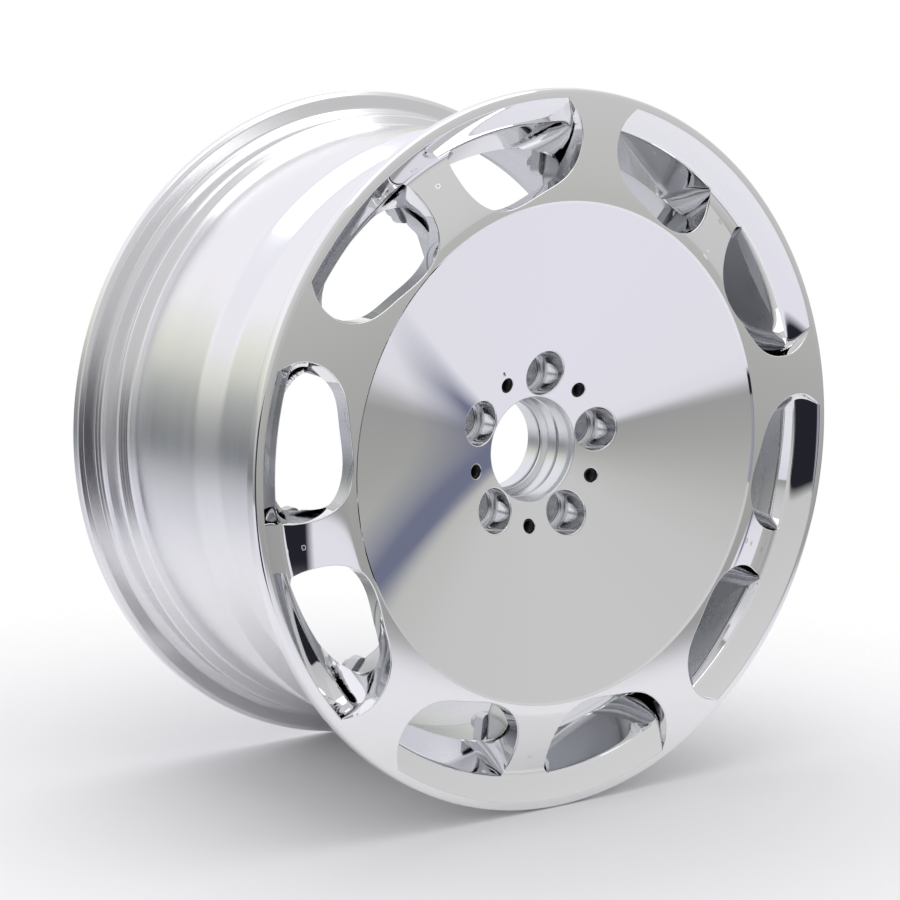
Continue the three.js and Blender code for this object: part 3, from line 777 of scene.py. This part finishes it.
    # lug pockets, small holes and pad reliefs
    skin.finish = BORE_FINISH
    for index in range(SPOKE_PAIRS):
        spot = polar(LUG_CIRCLE, flush_angle(index), 0)
        pocket = outline([
            (LUG_POCKET_R, 52, 0), (LUG_POCKET_R, LUG_SEAT_DEPTH, 1.6), (13.3, LUG_SEAT_DEPTH, 0.3),
            (13.3, 72.3, 0), (LUG_HOLE_R, 72.3, 0), (LUG_HOLE_R, HUB_DEPTH, 0)])
        turned(skin, turned_over(pocket), spot, AXLE, 96)
        spot = polar(LUG_CIRCLE, flush_angle(index + 0.5), 0)
        drilled = outline([(INSERT_HOLE_R, 42, 0), (INSERT_HOLE_R, 54, 0), (0.01, 56, 0)])
        turned(skin, turned_over(drilled), spot, AXLE, 48)
        relief = outline([(RELIEF_R, HUB_DEPTH, 0), (RELIEF_R, HUB_DEPTH - RELIEF_DEPTH, 3.0),
                          (0.01, HUB_DEPTH - RELIEF_DEPTH, 0)])
        turned(skin, relief, spot, AXLE, 48)
    return skin


def half_circle(centre, radius, count=24):
    """The half of a circle on the low side of the cell's far edge, from its outer to its inner point."""
    start = math.radians(CELL)
    turn = np.linspace(start, start - math.pi, count + 1)
    return centre + radius * np.stack([np.cos(turn), np.sin(turn)], -1)


def rib_skin(skin):
    """Ribs behind the spokes, widened into bolt pads at the ring."""
    skin.finish = BACK_FINISH_AND_SHADE
    run = np.linspace(70, 218, 50)
    back = np.interp(run, [70, 74, 188, 204, 218], [75.4, 74, 47.8, 46, 46])
    back = np.convolve(np.pad(back, 2, mode="edge"), np.ones(5) / 5, "valid")
    across = np.array([-13, -10, -9.2, -8.9, -8.2, -7, -5.5, -3, 0, 3, 5.5, 7, 8.2, 8.9, 9.2, 10, 13.])
    drop = np.array([99, 20, 6, 3.4, 1.6, .45, 0, 0, 0, 0, 0, .45, 1.6, 3.4, 6, 20, 99])
    surface = np.maximum(dish(run) + DISH_WALL, plate_back(run))
    surface = np.where(run < 150, dish(run) + DISH_WALL, surface)
    for k in range(2 * SPOKE_PAIRS):
        c, s = cos_sin(flush_angle(k / 2))
        depth = np.maximum(back[:, None] - drop[None], 0)
        depth = np.where(drop[None] > 50, surface[:, None] - 2, np.maximum(depth, surface[:, None] - 2))
        x = np.broadcast_to(run[:, None], depth.shape)
        y = across[None] * np.interp(run, [186, 196], [1, 1.55])[:, None]
        pts = np.stack([c * x - s * y, station(depth), s * x + c * y], -1)
        du, dv = np.gradient(pts, axis=0), np.gradient(pts, axis=1)
        nrm = np.cross(du, dv)
        nrm /= np.maximum(np.linalg.norm(nrm, axis=-1, keepdims=True), 1e-9)
        nrm *= np.where(nrm[..., 1:2].mean() < 0, -1, 1)
        skin.grid(pts, nrm)


def barrel_skin():
    skin = Skin()
    wall = WELL_R - BARREL_WALL
    front = JOINT_DEPTH + FIT_GAP
    rear = REAR_DEPTH
    around = full_turn(360)
    revolve(skin, outline([
        (JOINT_R, front, 0), (WELL_R, front + 4, 3), (WELL_R, WELL_END, 14), (LEDGE_R, WELL_END + 22, 14),
        (LEDGE_R, LEDGE_END, 4), (BEAD_R - 0.8, LEDGE_END + 6, 3), (BEAD_R - 1.7, LEDGE_END + 9, 2),
        (BEAD_R, rear - 14.6, 2.5), (245.4, rear - 11.7, 3.4), (FLANGE_R - 3.6, rear - FLANGE_WIDTH, 2.4),
        (FLANGE_R, rear - 8.6, 2.0), (FLANGE_R, rear - 2, 1.4), (FLANGE_R - 1.6, rear, 1.0),
        (LIP_EDGE_R + 2, rear, 0)], 8), around)
    skin.finish = BACK_FINISH_AND_SHADE
    revolve(skin, outline([
        (LIP_EDGE_R + 2, rear, 0), (LIP_EDGE_R, rear, 1.0), (LIP_EDGE_R - 4, rear - 0.8, 2.0),
        (230.5, rear - 22, 14), (LEDGE_R - BARREL_WALL, LEDGE_END, 10),
        (LEDGE_R - BARREL_WALL, WELL_END + 22, 14), (wall, WELL_END, 14), (wall, front + EAR_DEPTH, 3),
        (RING_BORE_R, front + EAR_DEPTH - 4, 1), (RING_BORE_R, front, 0), (JOINT_R, front, 0)], 8), around)
    inner, half, corner = BOLT_CIRCLE - 9, EAR_HALF, 5.0
    for k in range(2 * SPOKE_PAIRS):
        c, s = cos_sin(flush_angle(k / 2))
        shape = [(219.0, half), (inner + corner, half)]
        shape += [(inner + corner * (1 - math.sin(t)), half - corner * (1 - math.cos(t)))
                  for t in np.linspace(0, math.pi / 2, 9)]
        shape += [(a, -b) for a, b in reversed(shape)]
        line = np.array(shape)
        step = np.gradient(line, axis=0)
        step /= np.maximum(np.linalg.norm(step, axis=1, keepdims=True), 1e-9)
        out = np.stack([step[:, 1], -step[:, 0]], -1)
        out *= np.where((out * (np.array([212.0, 0.0]) - line)).sum(1, keepdims=True) > 0, -1, 1)

        def turn(spots):
            return spots[..., 0] * c - spots[..., 1] * s, spots[..., 0] * s + spots[..., 1] * c
        rows = []
        for depth, inset, up in ((front, 0, 0.), (front + EAR_DEPTH - 0.8, 0, 0.),
                                 (front + EAR_DEPTH - 0.2, 0.2, 0.7), (front + EAR_DEPTH, 0.8, 1.)):
            x, z = turn(line - inset * out)
            nx, nz = turn(out * math.sqrt(1 - up * up))
            rows.append((np.stack([x, np.full(len(x), station(depth)), z], -1),
                         np.stack([nx, np.full(len(x), up), nz], -1)))
        skin.grid(np.array([r[0] for r in rows]), np.array([r[1] for r in rows]))
        for level, facing in ((rows[-1][0], 1.0), (rows[0][0], -1.0)):
            middle = level.mean(0)
            ring = np.stack([level, np.broadcast_to(middle, level.shape)])
            skin.grid(ring, np.broadcast_to([0.0, facing, 0.0], ring.shape))
    boss = outline([(5.0, BOSS_FACE, 0), (11.0, BOSS_FACE, 0.8), (11.0, WELL_R - 3, 0)])
    turned(skin, boss, VALVE_SPOT, VALVE_AXIS, 64)
    return skin


def bolt_skin(angle, side):
    skin = Skin()
    across = side * (EAR_HALF - BOLT_INSET)
    c, s = cos_sin(angle)
    spot = (BOLT_CIRCLE * c - across * s, 0, BOLT_CIRCLE * s + across * c)
    seat = station(JOINT_DEPTH + 2 * FIT_GAP + EAR_DEPTH)
    shank = station(JOINT_DEPTH - 18)
    top = seat + 7
    turned(skin, outline([
        (0.01, shank, 0), (BOLT_R, shank, 0.6), (BOLT_R, seat, 0), (BOLT_HEAD_R, seat, 0.3),
        (BOLT_HEAD_R, top - 0.2, 0.9), (4.6, top, 0.3), (BOLT_SOCKET_R, top, 0)]), spot, AXLE, 48)
    sided(skin, outline([(BOLT_SOCKET_R, top, 0), (2.9, top - 0.45, 0), (2.9, top - 4, 0), (0.01, top - 4.6, 0)]),
          spot, AXLE, 6)
    return skin


def on_axle_plane(r, angle):
    """A spot at a radius and angle, in the plane midway along the wheel."""
    return polar(r, angle, 0) * np.array([1, 0, 1])


def seat_skin(index):
    skin = Skin()
    front, back = station(LUG_SEAT_DEPTH + FIT_GAP), station(LUG_SEAT_DEPTH + 12)
    turned(skin, outline([(12.0, front, 0.3), (13.0, front, 0.4), (13.0, back, 0.4), (7.5, back, 0.3),
                          (7.5, front + 8, 0.8), (12.0, front, 0)]),
           on_axle_plane(LUG_CIRCLE, flush_angle(index)), AXLE, 96)
    return skin


def insert_skin(index):
    skin = Skin()
    front = station(float(dish(LUG_CIRCLE)) + 1)
    corners = [(4.2, front, 0), (5.0, front, 0.2), (5.0, front + 17, 0.2), (4.2, front + 17, 0)]
    corners += [(4.3 if k % 2 else 3.8, front + 16.5 - 0.62 * k, 0.05) for k in range(26)]
    turned(skin, outline(corners + [(4.2, front, 0)], 2),
           on_axle_plane(LUG_CIRCLE, flush_angle(index + 0.5)), AXLE, 48)
    return skin


def ring_skins():
    hub, seal = Skin(), Skin()
    revolve(hub, outline([
        (33.8, 76.0, 0.3), (36.6, 76.0, 0.3), (36.6, HUB_DEPTH - FIT_GAP, 0.4),
        (34.1, HUB_DEPTH - FIT_GAP, 0.3),
        (33.3, 88.9, 0.4), (33.3, 76.5, 0.3), (33.8, 76.0, 0)]), full_turn(300))
    turn = np.linspace(0, 2 * math.pi, 17)
    ring = np.stack([np.cos(turn), np.sin(turn)], -1)
    revolve(seal, [(np.array([222.4, JOINT_DEPTH + 1.5]) + 1.2 * ring, ring)], full_turn(300))
    return hub, seal


def valve_skins():
    """Stem, grommet, nut, core, pin and cap, each turned about the valve's axis."""
    tip = BOSS_FACE - 24
    shelf = WELL_R + 2 * FIT_GAP + 2

    def about(corners, steps=64, ridges=0, height=0.0):
        skin = Skin()
        turned(skin, outline(corners, 3), VALVE_SPOT, VALVE_AXIS, steps, ridges, height)
        return skin
    stem = about([(2.6, tip, 0), (3.6, tip, 0.2), *thread(STEM_R, tip + 0.5, BOSS_FACE - 0.5, 0.9, 0.35),
                  (STEM_R, BOSS_FACE, 0), (STEM_R, shelf, 0.3), (8.0, shelf, 0.3), (8.0, shelf + 3, 1.0),
                  (1.3, shelf + 3, 0.2), (1.3, 219, 0), (2.6, 219, 0), (2.6, tip, 0)])
    grommet = about([(4.4, WELL_R + .3, 0.3), (8.0, WELL_R + .3, 0.6), (8.0, WELL_R + 2.3, 0.6),
                     (4.4, WELL_R + 2.3, 0.3), (4.4, WELL_R + .3, 0)])
    core = about([(1.1, tip + 2, 0.1), (2.3, tip + 2, 0.2), (2.3, tip + 14, 0.2), (1.1, tip + 14, 0.1),
                  (1.1, tip + 2, 0)], 48)
    pin = about([(0.01, tip + 1, 0), (0.7, tip + 1, 0.25), (0.7, tip + 14.3, 0), (1.9, tip + 14.3, 0.2),
                 (1.9, tip + 16.3, 0.2), (0.7, tip + 16.3, 0), (0.7, 215.5, 0.2), (0.01, 215.5, 0)], 32)
    cap = about([(0.01, tip - 2.2, 0), (4.6, tip - 2.2, 1.0), (5.6, tip - 1.0, 0.5), (5.6, tip + 11, 0.3),
                 (4.4, tip + 11, 0.2), (4.4, tip - 1, 0.2), (0.01, tip - 1, 0)], 192, 24, 0.35)
    nut = Skin()
    low = BOSS_FACE - FIT_GAP - 5
    sided(nut, outline([(6.4, low, 0), (7.0, low + 0.6, 0), (7.0, low + 4.4, 0), (6.4, low + 5, 0)]),
          VALVE_SPOT, VALVE_AXIS, 6)
    for reach, way in ((low, 1), (low + 5, -1)):
        face = [(6.42, reach, 0), (4.4, reach, 0)]
        sided(nut, outline(face if way < 0 else face[::-1]), VALVE_SPOT, VALVE_AXIS, 6)
    turned(nut, outline([(4.4, low + 5, 0), (4.4, low, 0)]), VALVE_SPOT, VALVE_AXIS, 48)
    return {"valve_stem": stem, "valve_grommet": grommet, "valve_core": core, "valve_pin": pin,
            "valve_cap": cap, "valve_nut": nut}


# ---------------------------------------------------------------- materials
def add_object(name, data):
    obj = bpy.data.objects.new(name, data)
    bpy.context.scene.collection.objects.link(obj)
    return obj


def add_node(tree, kind, inputs=None, **settings):
    """New node of a tree, with its settings and the values of its inputs."""
    node = tree.nodes.new(kind)
    for name, value in settings.items():
        setattr(node, name, value)
    for name, value in (inputs or {}).items():
        node.inputs[name].default_value = value
    return node


def node_material(name, colour, roughness, metallic=1.0, spread=0.0, grain=(60, 60, 60)):
    """Principled material whose roughness wanders by spread over a noise of that grain."""
    mat = bpy.data.materials.new(name)
    mat.use_nodes = True
    tree = mat.node_tree
    shader = tree.nodes["Principled BSDF"]
    shader.inputs["Base Color"].default_value = (*colour, 1)
    shader.inputs["Roughness"].default_value = roughness
    shader.inputs["Metallic"].default_value = metallic
    if spread:
        coord = add_node(tree, "ShaderNodeTexCoord")
        mapping = add_node(tree, "ShaderNodeMapping", {"Scale": grain})
        noise = add_node(tree, "ShaderNodeTexNoise", {"Scale": 1.0, "Detail": 4.0})
        level = add_node(tree, "ShaderNodeMapRange", {
            "From Min": 0.3, "From Max": 0.7,
            "To Min": max(roughness - spread, 0.0), "To Max": roughness + spread})
        tree.links.new(coord.outputs["Object"], mapping.inputs["Vector"])
        tree.links.new(mapping.outputs["Vector"], noise.inputs["Vector"])
        tree.links.new(noise.outputs["Fac"], level.inputs["Value"])
        tree.links.new(level.outputs["Result"], shader.inputs["Roughness"])
    return mat, tree, shader


def polished(name):
    return node_material(name, (0.93, 0.93, 0.94), 0.03, 1.0, 0.012, (9, 9, 9))[0]


def turned_finish(name, colour, roughness, lines, depth):
    """Machined metal: fine turning lines round the wheel axis."""
    mat, tree, shader = node_material(name, colour, roughness, 1.0, 0.06, (2, 40, 2))
    shader.inputs["Anisotropic"].default_value = 0.75
    tangent = add_node(tree, "ShaderNodeTangent", direction_type="RADIAL", axis="Y")
    tree.links.new(tangent.outputs["Tangent"], shader.inputs["Tangent"])
    coord = add_node(tree, "ShaderNodeTexCoord")
    split = add_node(tree, "ShaderNodeSeparateXYZ")
    noise = add_node(tree, "ShaderNodeTexNoise", noise_dimensions="1D")
    noise.inputs["Scale"].default_value = lines
    noise.inputs["Detail"].default_value = 3.0
    bump = add_node(tree, "ShaderNodeBump", {"Strength": depth, "Distance": 0.0001})
    tree.links.new(coord.outputs["Object"], split.inputs[0])
    tree.links.new(split.outputs["Y"], noise.inputs["W"])
    tree.links.new(noise.outputs["Fac"], bump.inputs["Height"])
    tree.links.new(bump.outputs["Normal"], shader.inputs["Normal"])
    return mat


def place(name, skin, materials, body, slot, *nodes):
    obj = add_object(name, skin.mesh(name, materials))
    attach(obj, body)
    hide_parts(*nodes)
    return obj


skin = face_skin()
rib_skin(skin)
# Back of the plate, spokes and hub: satin finish, its darker base colour painted shade for the hollow back
satin_with_painted_shade = node_material("satin_machined_painted_shade", (0.62, 0.63, 0.65), 0.30, 1.0, 0.06, (60, 60, 60))[0]
barrel_metal = turned_finish("turned_alloy_finish", (0.90, 0.90, 0.92), 0.17, 1400.0, 0.25)
ring_metal = turned_finish("ring_alloy_finish", (0.80, 0.81, 0.83), 0.22, 2200.0, 0.2)
place("polished_face", skin, [polished("mirror_polish"), satin_with_painted_shade, ring_metal], "wheel", "polished_alloy",
      "wheel_face")
# Inside of the barrel: rougher turned finish, its darker base colour painted shade for the hollow inside
inner_metal_painted_shade = turned_finish("turned_inside_painted_shade", (0.66, 0.67, 0.69), 0.28, 1400.0, 0.25)
zinc = node_material("zinc_plate", (0.60, 0.61, 0.63), 0.28, 1.0, 0.08, (180, 180, 180))[0]
black = node_material("black_oxide", (0.05, 0.05, 0.055), 0.45, 1.0, 0.08, (200, 200, 200))[0]
brass_metal = node_material("machined_brass", (0.72, 0.52, 0.24), 0.25, 1.0, 0.06, (220, 220, 220))[0]
rubber_matt = node_material("matt_rubber", (0.02, 0.02, 0.022), 0.75, 0.0, 0.1, (160, 160, 160))[0]
place("turned_barrel", barrel_skin(), [barrel_metal, inner_metal_painted_shade], "wheel", "turned_alloy", "barrel")
hub, seal = ring_skins()
place("bored_hub_ring", hub, [ring_metal], "wheel", "ring_alloy", "hub_ring")
place("joint_seal", seal, [rubber_matt], "wheel", "rubber", "rim_seal")
for index in range(SPOKE_PAIRS):
    place(f"conical_seat_{index + 1}", seat_skin(index), [zinc], "wheel", "zinc_steel",
          f"lug_seat_{index + 1}")
    place(f"threaded_insert_{index + 1}", insert_skin(index), [black], "wheel", "black_steel",
          f"thread_insert_{index + 1}")
for index in range(4 * SPOKE_PAIRS):
    skin = bolt_skin(flush_angle(index // 2 / 2), 1 - 2 * (index % 2))
    place(f"socket_bolt_{index + 1:02d}", skin, [zinc], "wheel", "zinc_steel", f"rim_bolt_{index + 1:02d}")
finishes = {"valve_stem": (ring_metal, "ring_alloy"), "valve_grommet": (rubber_matt, "rubber"),
            "valve_core": (brass_metal, "brass"), "valve_pin": (brass_metal, "brass"),
            "valve_cap": (ring_metal, "ring_alloy"), "valve_nut": (zinc, "zinc_steel")}
for node, skin in valve_skins().items():
    metal, slot = finishes[node]
    body = node if node in ("valve_pin", "valve_cap") else "wheel"
    place(f"{node}_detail", skin, [metal], body, slot, node)

# ---------------------------------------------------------------- camera, floor and light
# The camera is solved from the circles of the lip, rear flange, lug holes and small holes.
cam_data = bpy.data.cameras.new("camera")
camera = add_object("camera", cam_data)
bpy.context.scene.camera = camera
cam_data.sensor_width = 36.0
cam_data.lens = 86.924
FRONT = station(0)
right = Vector((0.811565, -0.584052, 0.015661))
down = Vector((-0.070191, -0.124073, -0.989787))
ahead = Vector((0.580031, 0.802178, -0.141689))
camera.matrix_world = Matrix((
    (right.x, -down.x, -ahead.x, -0.96497),
    (right.y, -down.y, -ahead.y, FRONT * MM - 1.19176),
    (right.z, -down.z, -ahead.z, 0.22213),
    (0, 0, 0, 1)))
cam_data.clip_end = 50

bpy.context.scene.view_settings.view_transform = "Standard"

world = bpy.data.worlds.new("studio")
bpy.context.scene.world = world
world.use_nodes = True
tree = world.node_tree
tree.nodes.clear()
out = add_node(tree, "ShaderNodeOutputWorld")
back = add_node(tree, "ShaderNodeBackground")
coord = add_node(tree, "ShaderNodeTexCoord")
split = add_node(tree, "ShaderNodeSeparateXYZ")
tree.links.new(coord.outputs["Generated"], split.inputs[0])
height = add_node(tree, "ShaderNodeMath", operation="ARCSINE")
tree.links.new(split.outputs["Z"], height.inputs[0])
span = add_node(tree, "ShaderNodeMapRange", {"From Min": -math.pi / 2, "From Max": math.pi / 2})
tree.links.new(height.outputs[0], span.inputs["Value"])


def ramp(stops):
    """Grey levels against elevation in degrees, from straight down to straight up."""
    node = add_node(tree, "ShaderNodeValToRGB")
    node.color_ramp.interpolation = "LINEAR"
    items = node.color_ramp.elements
    while len(items) > 1:
        items.remove(items[-1])
    for k, (elevation, colour) in enumerate(stops):
        spot = (elevation + 90) / 180
        item = items[0] if k == 0 else items.new(spot)
        item.position = spot
        item.color = (*[linear(c) for c in colour], 1)
    tree.links.new(span.outputs["Result"], node.inputs["Fac"])
    return node


def linear(value):
    v = value / 255
    return v / 12.92 if v <= 0.04045 else ((v + 0.055) / 1.055) ** 2.4


front = ramp([
    (-90, (232, 232, 240)), (-30, (229, 228, 238)), (-17, (229, 228, 236)), (-14.5, (224, 223, 230)),
    (-13, (158, 157, 157)), (-9, (164, 164, 162)), (-5, (176, 176, 174)), (0, (192, 192, 190)),
    (5, (200, 200, 199)), (14, (204, 204, 204)), (40, (212, 212, 212)), (90, (216, 216, 216))])
rear = ramp([
    (-90, (222, 222, 228)), (-30, (230, 230, 236)), (-22, (225, 224, 231)), (-15, (200, 200, 206)),
    (-11, (172, 174, 178)), (-8, (126, 130, 134)), (-4, (130, 132, 133)), (1, (158, 160, 159)),
    (5, (178, 180, 177)), (9, (213, 214, 204)), (14, (231, 232, 220)), (22, (250, 248, 252)),
    (40, (246, 245, 252)), (90, (240, 240, 246))])
aim = add_node(tree, "ShaderNodeMapRange", {"From Min": -0.2, "From Max": 0.5},
               interpolation_type="SMOOTHSTEP")
tree.links.new(split.outputs["Y"], aim.inputs["Value"])
mix = add_node(tree, "ShaderNodeMix", data_type="RGBA")
tree.links.new(aim.outputs["Result"], mix.inputs["Factor"])
tree.links.new(front.outputs["Color"], mix.inputs["A"])
tree.links.new(rear.outputs["Color"], mix.inputs["B"])


def maths(operation, a, b=None):
    node = add_node(tree, "ShaderNodeMath", operation=operation)
    for socket, value in zip(node.inputs, (a, b)):
        if value is None:
            continue
        if isinstance(value, (int, float)):
            socket.default_value = value
        else:
            tree.links.new(value, socket)
    return node.outputs[0]


def band(value, low, high, soft):
    """One inside low..high, falling to nothing over soft degrees outside it."""
    rise = maths("DIVIDE", maths("SUBTRACT", value, low - soft), soft)
    fall = maths("DIVIDE", maths("SUBTRACT", high + soft, value), soft)
    node = add_node(tree, "ShaderNodeClamp")
    tree.links.new(maths("MINIMUM", rise, fall), node.inputs["Value"])
    return node.outputs[0]


across = maths("DEGREES", maths("ARCTAN2", split.outputs["X"], maths("MULTIPLY", split.outputs["Y"], -1.0)))
above = maths("DEGREES", height.outputs[0])
scene_colour = mix.outputs["Result"]
for az0, az1, el0, el1, soft, shade in (
        (-44, -8, -26, 2, 2.5, (36, 36, 44)), (-36, -33, -20, 4, 0.8, (150, 152, 165)),
        (63.8, 65.2, -16, -2, 2.2, (112, 116, 138))):
    patch = add_node(tree, "ShaderNodeMix", data_type="RGBA")
    tree.links.new(maths("MULTIPLY", band(across, az0, az1, soft), band(above, el0, el1, soft)),
                   patch.inputs["Factor"])
    tree.links.new(scene_colour, patch.inputs["A"])
    patch.inputs["B"].default_value = (*[linear(c) for c in shade], 1)
    scene_colour = patch.outputs["Result"]
path = add_node(tree, "ShaderNodeLightPath")
clean = add_node(tree, "ShaderNodeMix", {"B": (1, 1, 1, 1)}, data_type="RGBA")
tree.links.new(path.outputs["Is Camera Ray"], clean.inputs["Factor"])
tree.links.new(scene_colour, clean.inputs["A"])
tree.links.new(clean.outputs["Result"], back.inputs["Color"])
tree.links.new(back.outputs[0], out.inputs[0])


def floor():
    """Pale floor that fades into the white studio away from the wheel."""
    size = 3.0
    z = -FLANGE_R * MM
    mesh = bpy.data.meshes.new("floor")
    corners = [(-size, -size, z), (size, -size, z), (size, size, z), (-size, size, z)]
    mesh.from_pydata(corners, [], [(0, 1, 2, 3)])
    obj = add_object("floor", mesh)
    mat, tree, shader = node_material("floor_white", (0.93, 0.93, 0.94), 0.7, 0.0)
    shader.inputs["Specular IOR Level"].default_value = 0.1
    coord = add_node(tree, "ShaderNodeTexCoord")
    reach = add_node(tree, "ShaderNodeVectorMath", operation="LENGTH")
    fade = add_node(tree, "ShaderNodeMapRange", {
        "From Min": 0.35, "From Max": 0.75, "To Min": 1.0, "To Max": 0.0},
        interpolation_type="SMOOTHSTEP")
    tree.links.new(coord.outputs["Object"], reach.inputs[0])
    tree.links.new(reach.outputs["Value"], fade.inputs["Value"])
    tree.links.new(fade.outputs["Result"], shader.inputs["Alpha"])
    mesh.materials.append(mat)


def soft_light():
    data = bpy.data.lights.new("overhead", "AREA")
    data.shape = "SQUARE"
    data.size = 2.2
    data.energy = 18.0
    add_object("overhead", data).location = (0, 0, 2.2)


floor()
soft_light()
